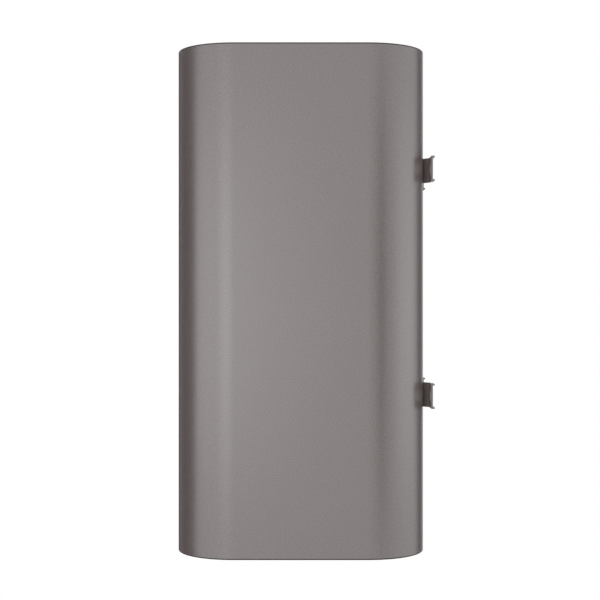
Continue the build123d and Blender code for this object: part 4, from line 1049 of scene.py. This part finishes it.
@dataclass
class ControlPanel(Assembly):
    """The panel low on the front: its frame, the print on its fascia and the display's digits."""

    z: float = -249.3
    fascia_y: float = -290.4
    ink: float = 0.05
    legend_below: float = 13.0
    keys: tuple[float, ...] = (-96.0, -62.0, 62.0, 96.0)
    module_y: float = -286.8
    digit_width: float = 8.0
    digit_height: float = 14.0
    segment: float = 1.7
    frame_edge: float = 0.15
    line: float = 0.5
    sign: float = 2.0
    sign_gap: float = 0.25
    sign_radius: float = 2.2
    arc_steps: int = 20
    power_arc: Flat = (120.0, 420.0)
    power_bar: Flat = (0.4, 3.0)
    mode_starts: tuple[float, ...] = (20.0, 140.0, 260.0)
    mode_sweep: float = 80.0
    segment_gap: float = 0.5
    digit_space: float = 4.0

    def arc(self, x: float, start: float, end: float) -> list[Flat]:
        """Draws an arc round the middle of a key's sign.

        Args:
            x: The key's place across the fascia.
            start: The bearing in degrees at which it starts.
            end: The bearing at which it ends.

        Returns:
            The arc's points as x and z.
        """
        z, radius, steps = self.z - self.legend_below, self.sign_radius, self.arc_steps
        turns = [math.radians(start + (end - start) * step / steps) for step in range(steps + 1)]
        return [(x + radius * math.cos(turn), z + radius * math.sin(turn)) for turn in turns]

    def legends(self) -> Draft:
        """Draws the keys' signs on the fascia: power, mode, minus and plus.

        Returns:
            The print, as thin strokes.
        """
        power, mode, minus, plus = self.keys
        z, half, gap = self.z - self.legend_below, self.sign, self.sign_gap
        strokes = [
            self.arc(power, *self.power_arc),
            [(power, z + rise) for rise in self.power_bar],
            *(self.arc(mode, start, start + self.mode_sweep) for start in self.mode_starts),
            [(minus - half, z), (minus + half, z)],
            [(plus - half, z), (plus + half, z)],
            [(plus, z - half), (plus, z - gap)],
            [(plus, z + gap), (plus, z + half)],
        ]
        draft = Draft()
        for points in strokes:
            draft.stroke(points, self.line, self.fascia_y, self.ink)
        return draft

    def digits(self) -> Draft:
        """Draws a 55 in lit segments behind the display's window.

        Returns:
            The lit segments.
        """
        draft = Draft()
        w, h, gap = self.digit_width / 2, self.digit_height / 2, self.segment_gap
        pitch = self.digit_width + self.digit_space
        # A 5 is lit at its top, upper left, middle, lower right and bottom.
        five = [
            [(-w + gap, h), (w - gap, h)],
            [(-w, h - gap), (-w, gap)],
            [(-w + gap, 0.0), (w - gap, 0.0)],
            [(w, -gap), (w, -h + gap)],
            [(-w + gap, -h), (w - gap, -h)],
        ]
        for middle in (-pitch / 2, pitch / 2):
            for ends in five:
                line = [(middle + x, self.z + z) for x, z in ends]
                draft.stroke(line, self.segment, self.module_y, self.ink)
        return draft

    def build(self) -> list[bpy.types.Object]:
        """Breaks the frame's edges, prints the fascia and lights the display.

        Returns:
            The finished pieces.
        """
        return [
            softened("panel_frame", "panel_frame_moulding", "panel_plastic", self.frame_edge),
            Fitting("fascia_film", finish=INK).fit(self.legends().object("fascia_print")),
            Fitting("white_plastic", finish=SEGMENT).fit(self.digits().object("display_digits")),
        ]


def dress_frame() -> None:
    """Gives every node of the frame the finish of its material slot."""
    for part in frame["record"]["subparts"]:
        obj = frame["nodes"][part["node"]]
        material = SLOT_FINISHES[part["material_slot"]].material()
        for slot in range(len(obj.data.materials)):
            obj.material_slots[slot].material = material
        LOG.info("dressed %s in %s", part["node"], material.name)


# The studio


@dataclass(frozen=True)
class Softbox:
    """A soft lamp that stands at a bearing round the heater and faces it."""

    name: str
    bearing: float
    distance: float
    width: float
    tall: float
    power: float

    def hang(self, middle: Vector) -> None:
        """Hangs the lamp.

        Args:
            middle: What the lamp faces.
        """
        data = bpy.data.lights.new(self.name, "AREA")
        data.shape, data.size, data.size_y, data.energy = "RECTANGLE", self.width, self.tall, self.power
        lamp = add_object(self.name, data)
        turn = math.radians(self.bearing)
        lamp.location = middle + self.distance * Vector((math.cos(turn), math.sin(turn), 0.0))
        lamp.rotation_euler = (middle - lamp.location).to_track_quat("-Z", "Y").to_euler()
        lamp.visible_camera = False


@dataclass(frozen=True)
class Flag:
    """A dark upright panel beside the view, which keeps one side of the room out of the reflections."""

    name: str
    start: Flat
    end: Flat
    low: float
    high: float
    colour: str = "#1c1c1c"

    def hang(self) -> None:
        """Hangs the panel, unseen by the camera."""
        (x0, y0), (x1, y1) = self.start, self.end
        corners = [(x0, y0, self.low), (x1, y1, self.low), (x1, y1, self.high), (x0, y0, self.high)]
        material = blank_material(self.name)
        tree = material.node_tree
        felt = add_node(tree, "ShaderNodeBsdfDiffuse", inputs={"Color": linear(self.colour)})
        add_node(tree, "ShaderNodeOutputMaterial", inputs={"Surface": felt.outputs[0]})
        obj = sheet(self.name, corners, material)
        obj.visible_camera = False


def sheet(name: str, corners: Iterable[Point], material: bpy.types.Material) -> bpy.types.Object:
    """Makes a flat sheet of the studio, in metres.

    Args:
        name: The sheet's name.
        corners: Its four corners, in order.
        material: What it is made of.

    Returns:
        The sheet.
    """
    draft = Draft()
    draft.mesh.faces.new(draft.ring(corners))
    obj = draft.object(name)
    obj.data.materials.append(material)
    return obj


@dataclass
class Studio:
    """A white room with a pale floor, soft lamps, and the camera at the photograph's angle."""

    middle: Point = (0.0, -0.1487, -0.0213)
    camera_x: float = 1.731
    lens: float = 81.0
    sensor: float = 36.0
    # The lens shift, in shares of the picture's width.
    shift: Flat = (-0.8 / 600, 1.2 / 600)
    floor_z: float = -0.78
    floor_size: float = 2.9
    floor_white: float = 0.8
    floor_colour: str = "#f4f4f2"
    ambient: float = 0.55
    lamps: tuple[Softbox, ...] = (
        Softbox("key_softbox", -17.0, 1.9, 0.9, 0.78, 3.3),
        Softbox("front_softbox", -56.0, 1.9, 1.5, 0.78, 2.7),
        Softbox("wall_softbox", 79.0, 1.9, 1.6, 0.78, 2.5),
    )
    flags: tuple[Flag, ...] = (
        Flag("front_flag", (0.28, -1.0), (-0.65, -1.0), -0.75, 0.8),
        Flag("wall_flag", (-0.26, 0.75), (-1.13, 0.75), -0.75, 0.8),
        Flag("rear_flag", (-0.8, -1.0), (-2.1, -0.36), -0.75, 0.8),
        Flag("side_flag", (1.3, 0.38), (1.19, 0.64), -0.4, 0.36),
    )

    def camera(self) -> None:
        """Sets the camera level with the casing's middle, looking along -X."""
        data = bpy.data.cameras.new("camera")
        data.lens, data.sensor_width = self.lens, self.sensor
        data.shift_x, data.shift_y = self.shift
        obj = add_object("camera", data)
        obj.location = (self.camera_x, self.middle[1], self.middle[2])
        obj.rotation_euler = (math.pi / 2, 0.0, math.pi / 2)
        bpy.context.scene.camera = obj

    def seen(self, tree: bpy.types.NodeTree) -> Socket:
        """Tells the rays that show the background from those that only light the heater.

        Args:
            tree: The tree that needs it.

        Returns:
            One for a ray from the camera, off gloss or through glass, and zero for the others.
        """
        path = add_node(tree, "ShaderNodeLightPath").outputs
        share = path["Is Camera Ray"]
        for ray in ("Is Glossy Ray", "Is Transmission Ray"):
            rays = {0: share, 1: path[ray]}
            share = add_node(tree, "ShaderNodeMath", {"operation": "MAXIMUM"}, rays).outputs[0]
        return share

    def world(self) -> None:
        """Lights the room evenly, and shows it white."""
        world = bpy.data.worlds.new("studio")
        world.use_nodes = True
        tree = world.node_tree
        tree.nodes.clear()
        share = {"Value": self.seen(tree), "To Min": self.ambient, "To Max": 1.0}
        strength = add_node(tree, "ShaderNodeMapRange", inputs=share).outputs[0]
        room = add_node(tree, "ShaderNodeBackground", inputs={"Color": WHITE, "Strength": strength})
        add_node(tree, "ShaderNodeOutputWorld", inputs={"Surface": room.outputs[0]})
        bpy.context.scene.world = world

    def floor(self) -> None:
        """Lays a pale floor well below the heater; it shows white and keeps the shadow."""
        half = self.floor_size / 2
        x, y = self.middle[0], self.middle[1]
        ends = ((-1, -1), (1, -1), (1, 1), (-1, 1))
        material = blank_material("pale_floor_paper")
        tree = material.node_tree
        paper = add_node(tree, "ShaderNodeBsdfDiffuse", inputs={"Color": linear(self.floor_colour)})
        glow = add_node(tree, "ShaderNodeEmission", inputs={"Color": WHITE, "Strength": 1.0})
        factors = {0: self.seen(tree), 1: self.floor_white}
        share = add_node(tree, "ShaderNodeMath", {"operation": "MULTIPLY"}, factors)
        layers = {0: share.outputs[0], 1: paper.outputs[0], 2: glow.outputs[0]}
        mix = add_node(tree, "ShaderNodeMixShader", inputs=layers)
        add_node(tree, "ShaderNodeOutputMaterial", inputs={"Surface": mix.outputs[0]})
        obj = sheet("floor", ((x + a * half, y + b * half, self.floor_z) for a, b in ends), material)

    def build(self) -> None:
        """Sets up the whole studio."""
        bpy.context.scene.view_settings.view_transform = "Standard"
        self.camera()
        self.world()
        self.floor()
        for lamp in self.lamps:
            lamp.hang(Vector(self.middle))
        for flag in self.flags:
            flag.hang()


def main() -> None:
    """Dresses the frame, builds the pieces and sets up the studio."""
    logging.basicConfig(level=logging.INFO, format="%(message)s")
    dress_frame()
    for part in (CasingWrap(), WallBrackets(), PipeNipples(), CordGland(), ServiceCover(), ControlPanel()):
        for piece in part.build():
            LOG.info("built %s: %d faces", piece.name, len(piece.data.polygons))
    Studio().build()


if __name__ == "__main__":
    main()
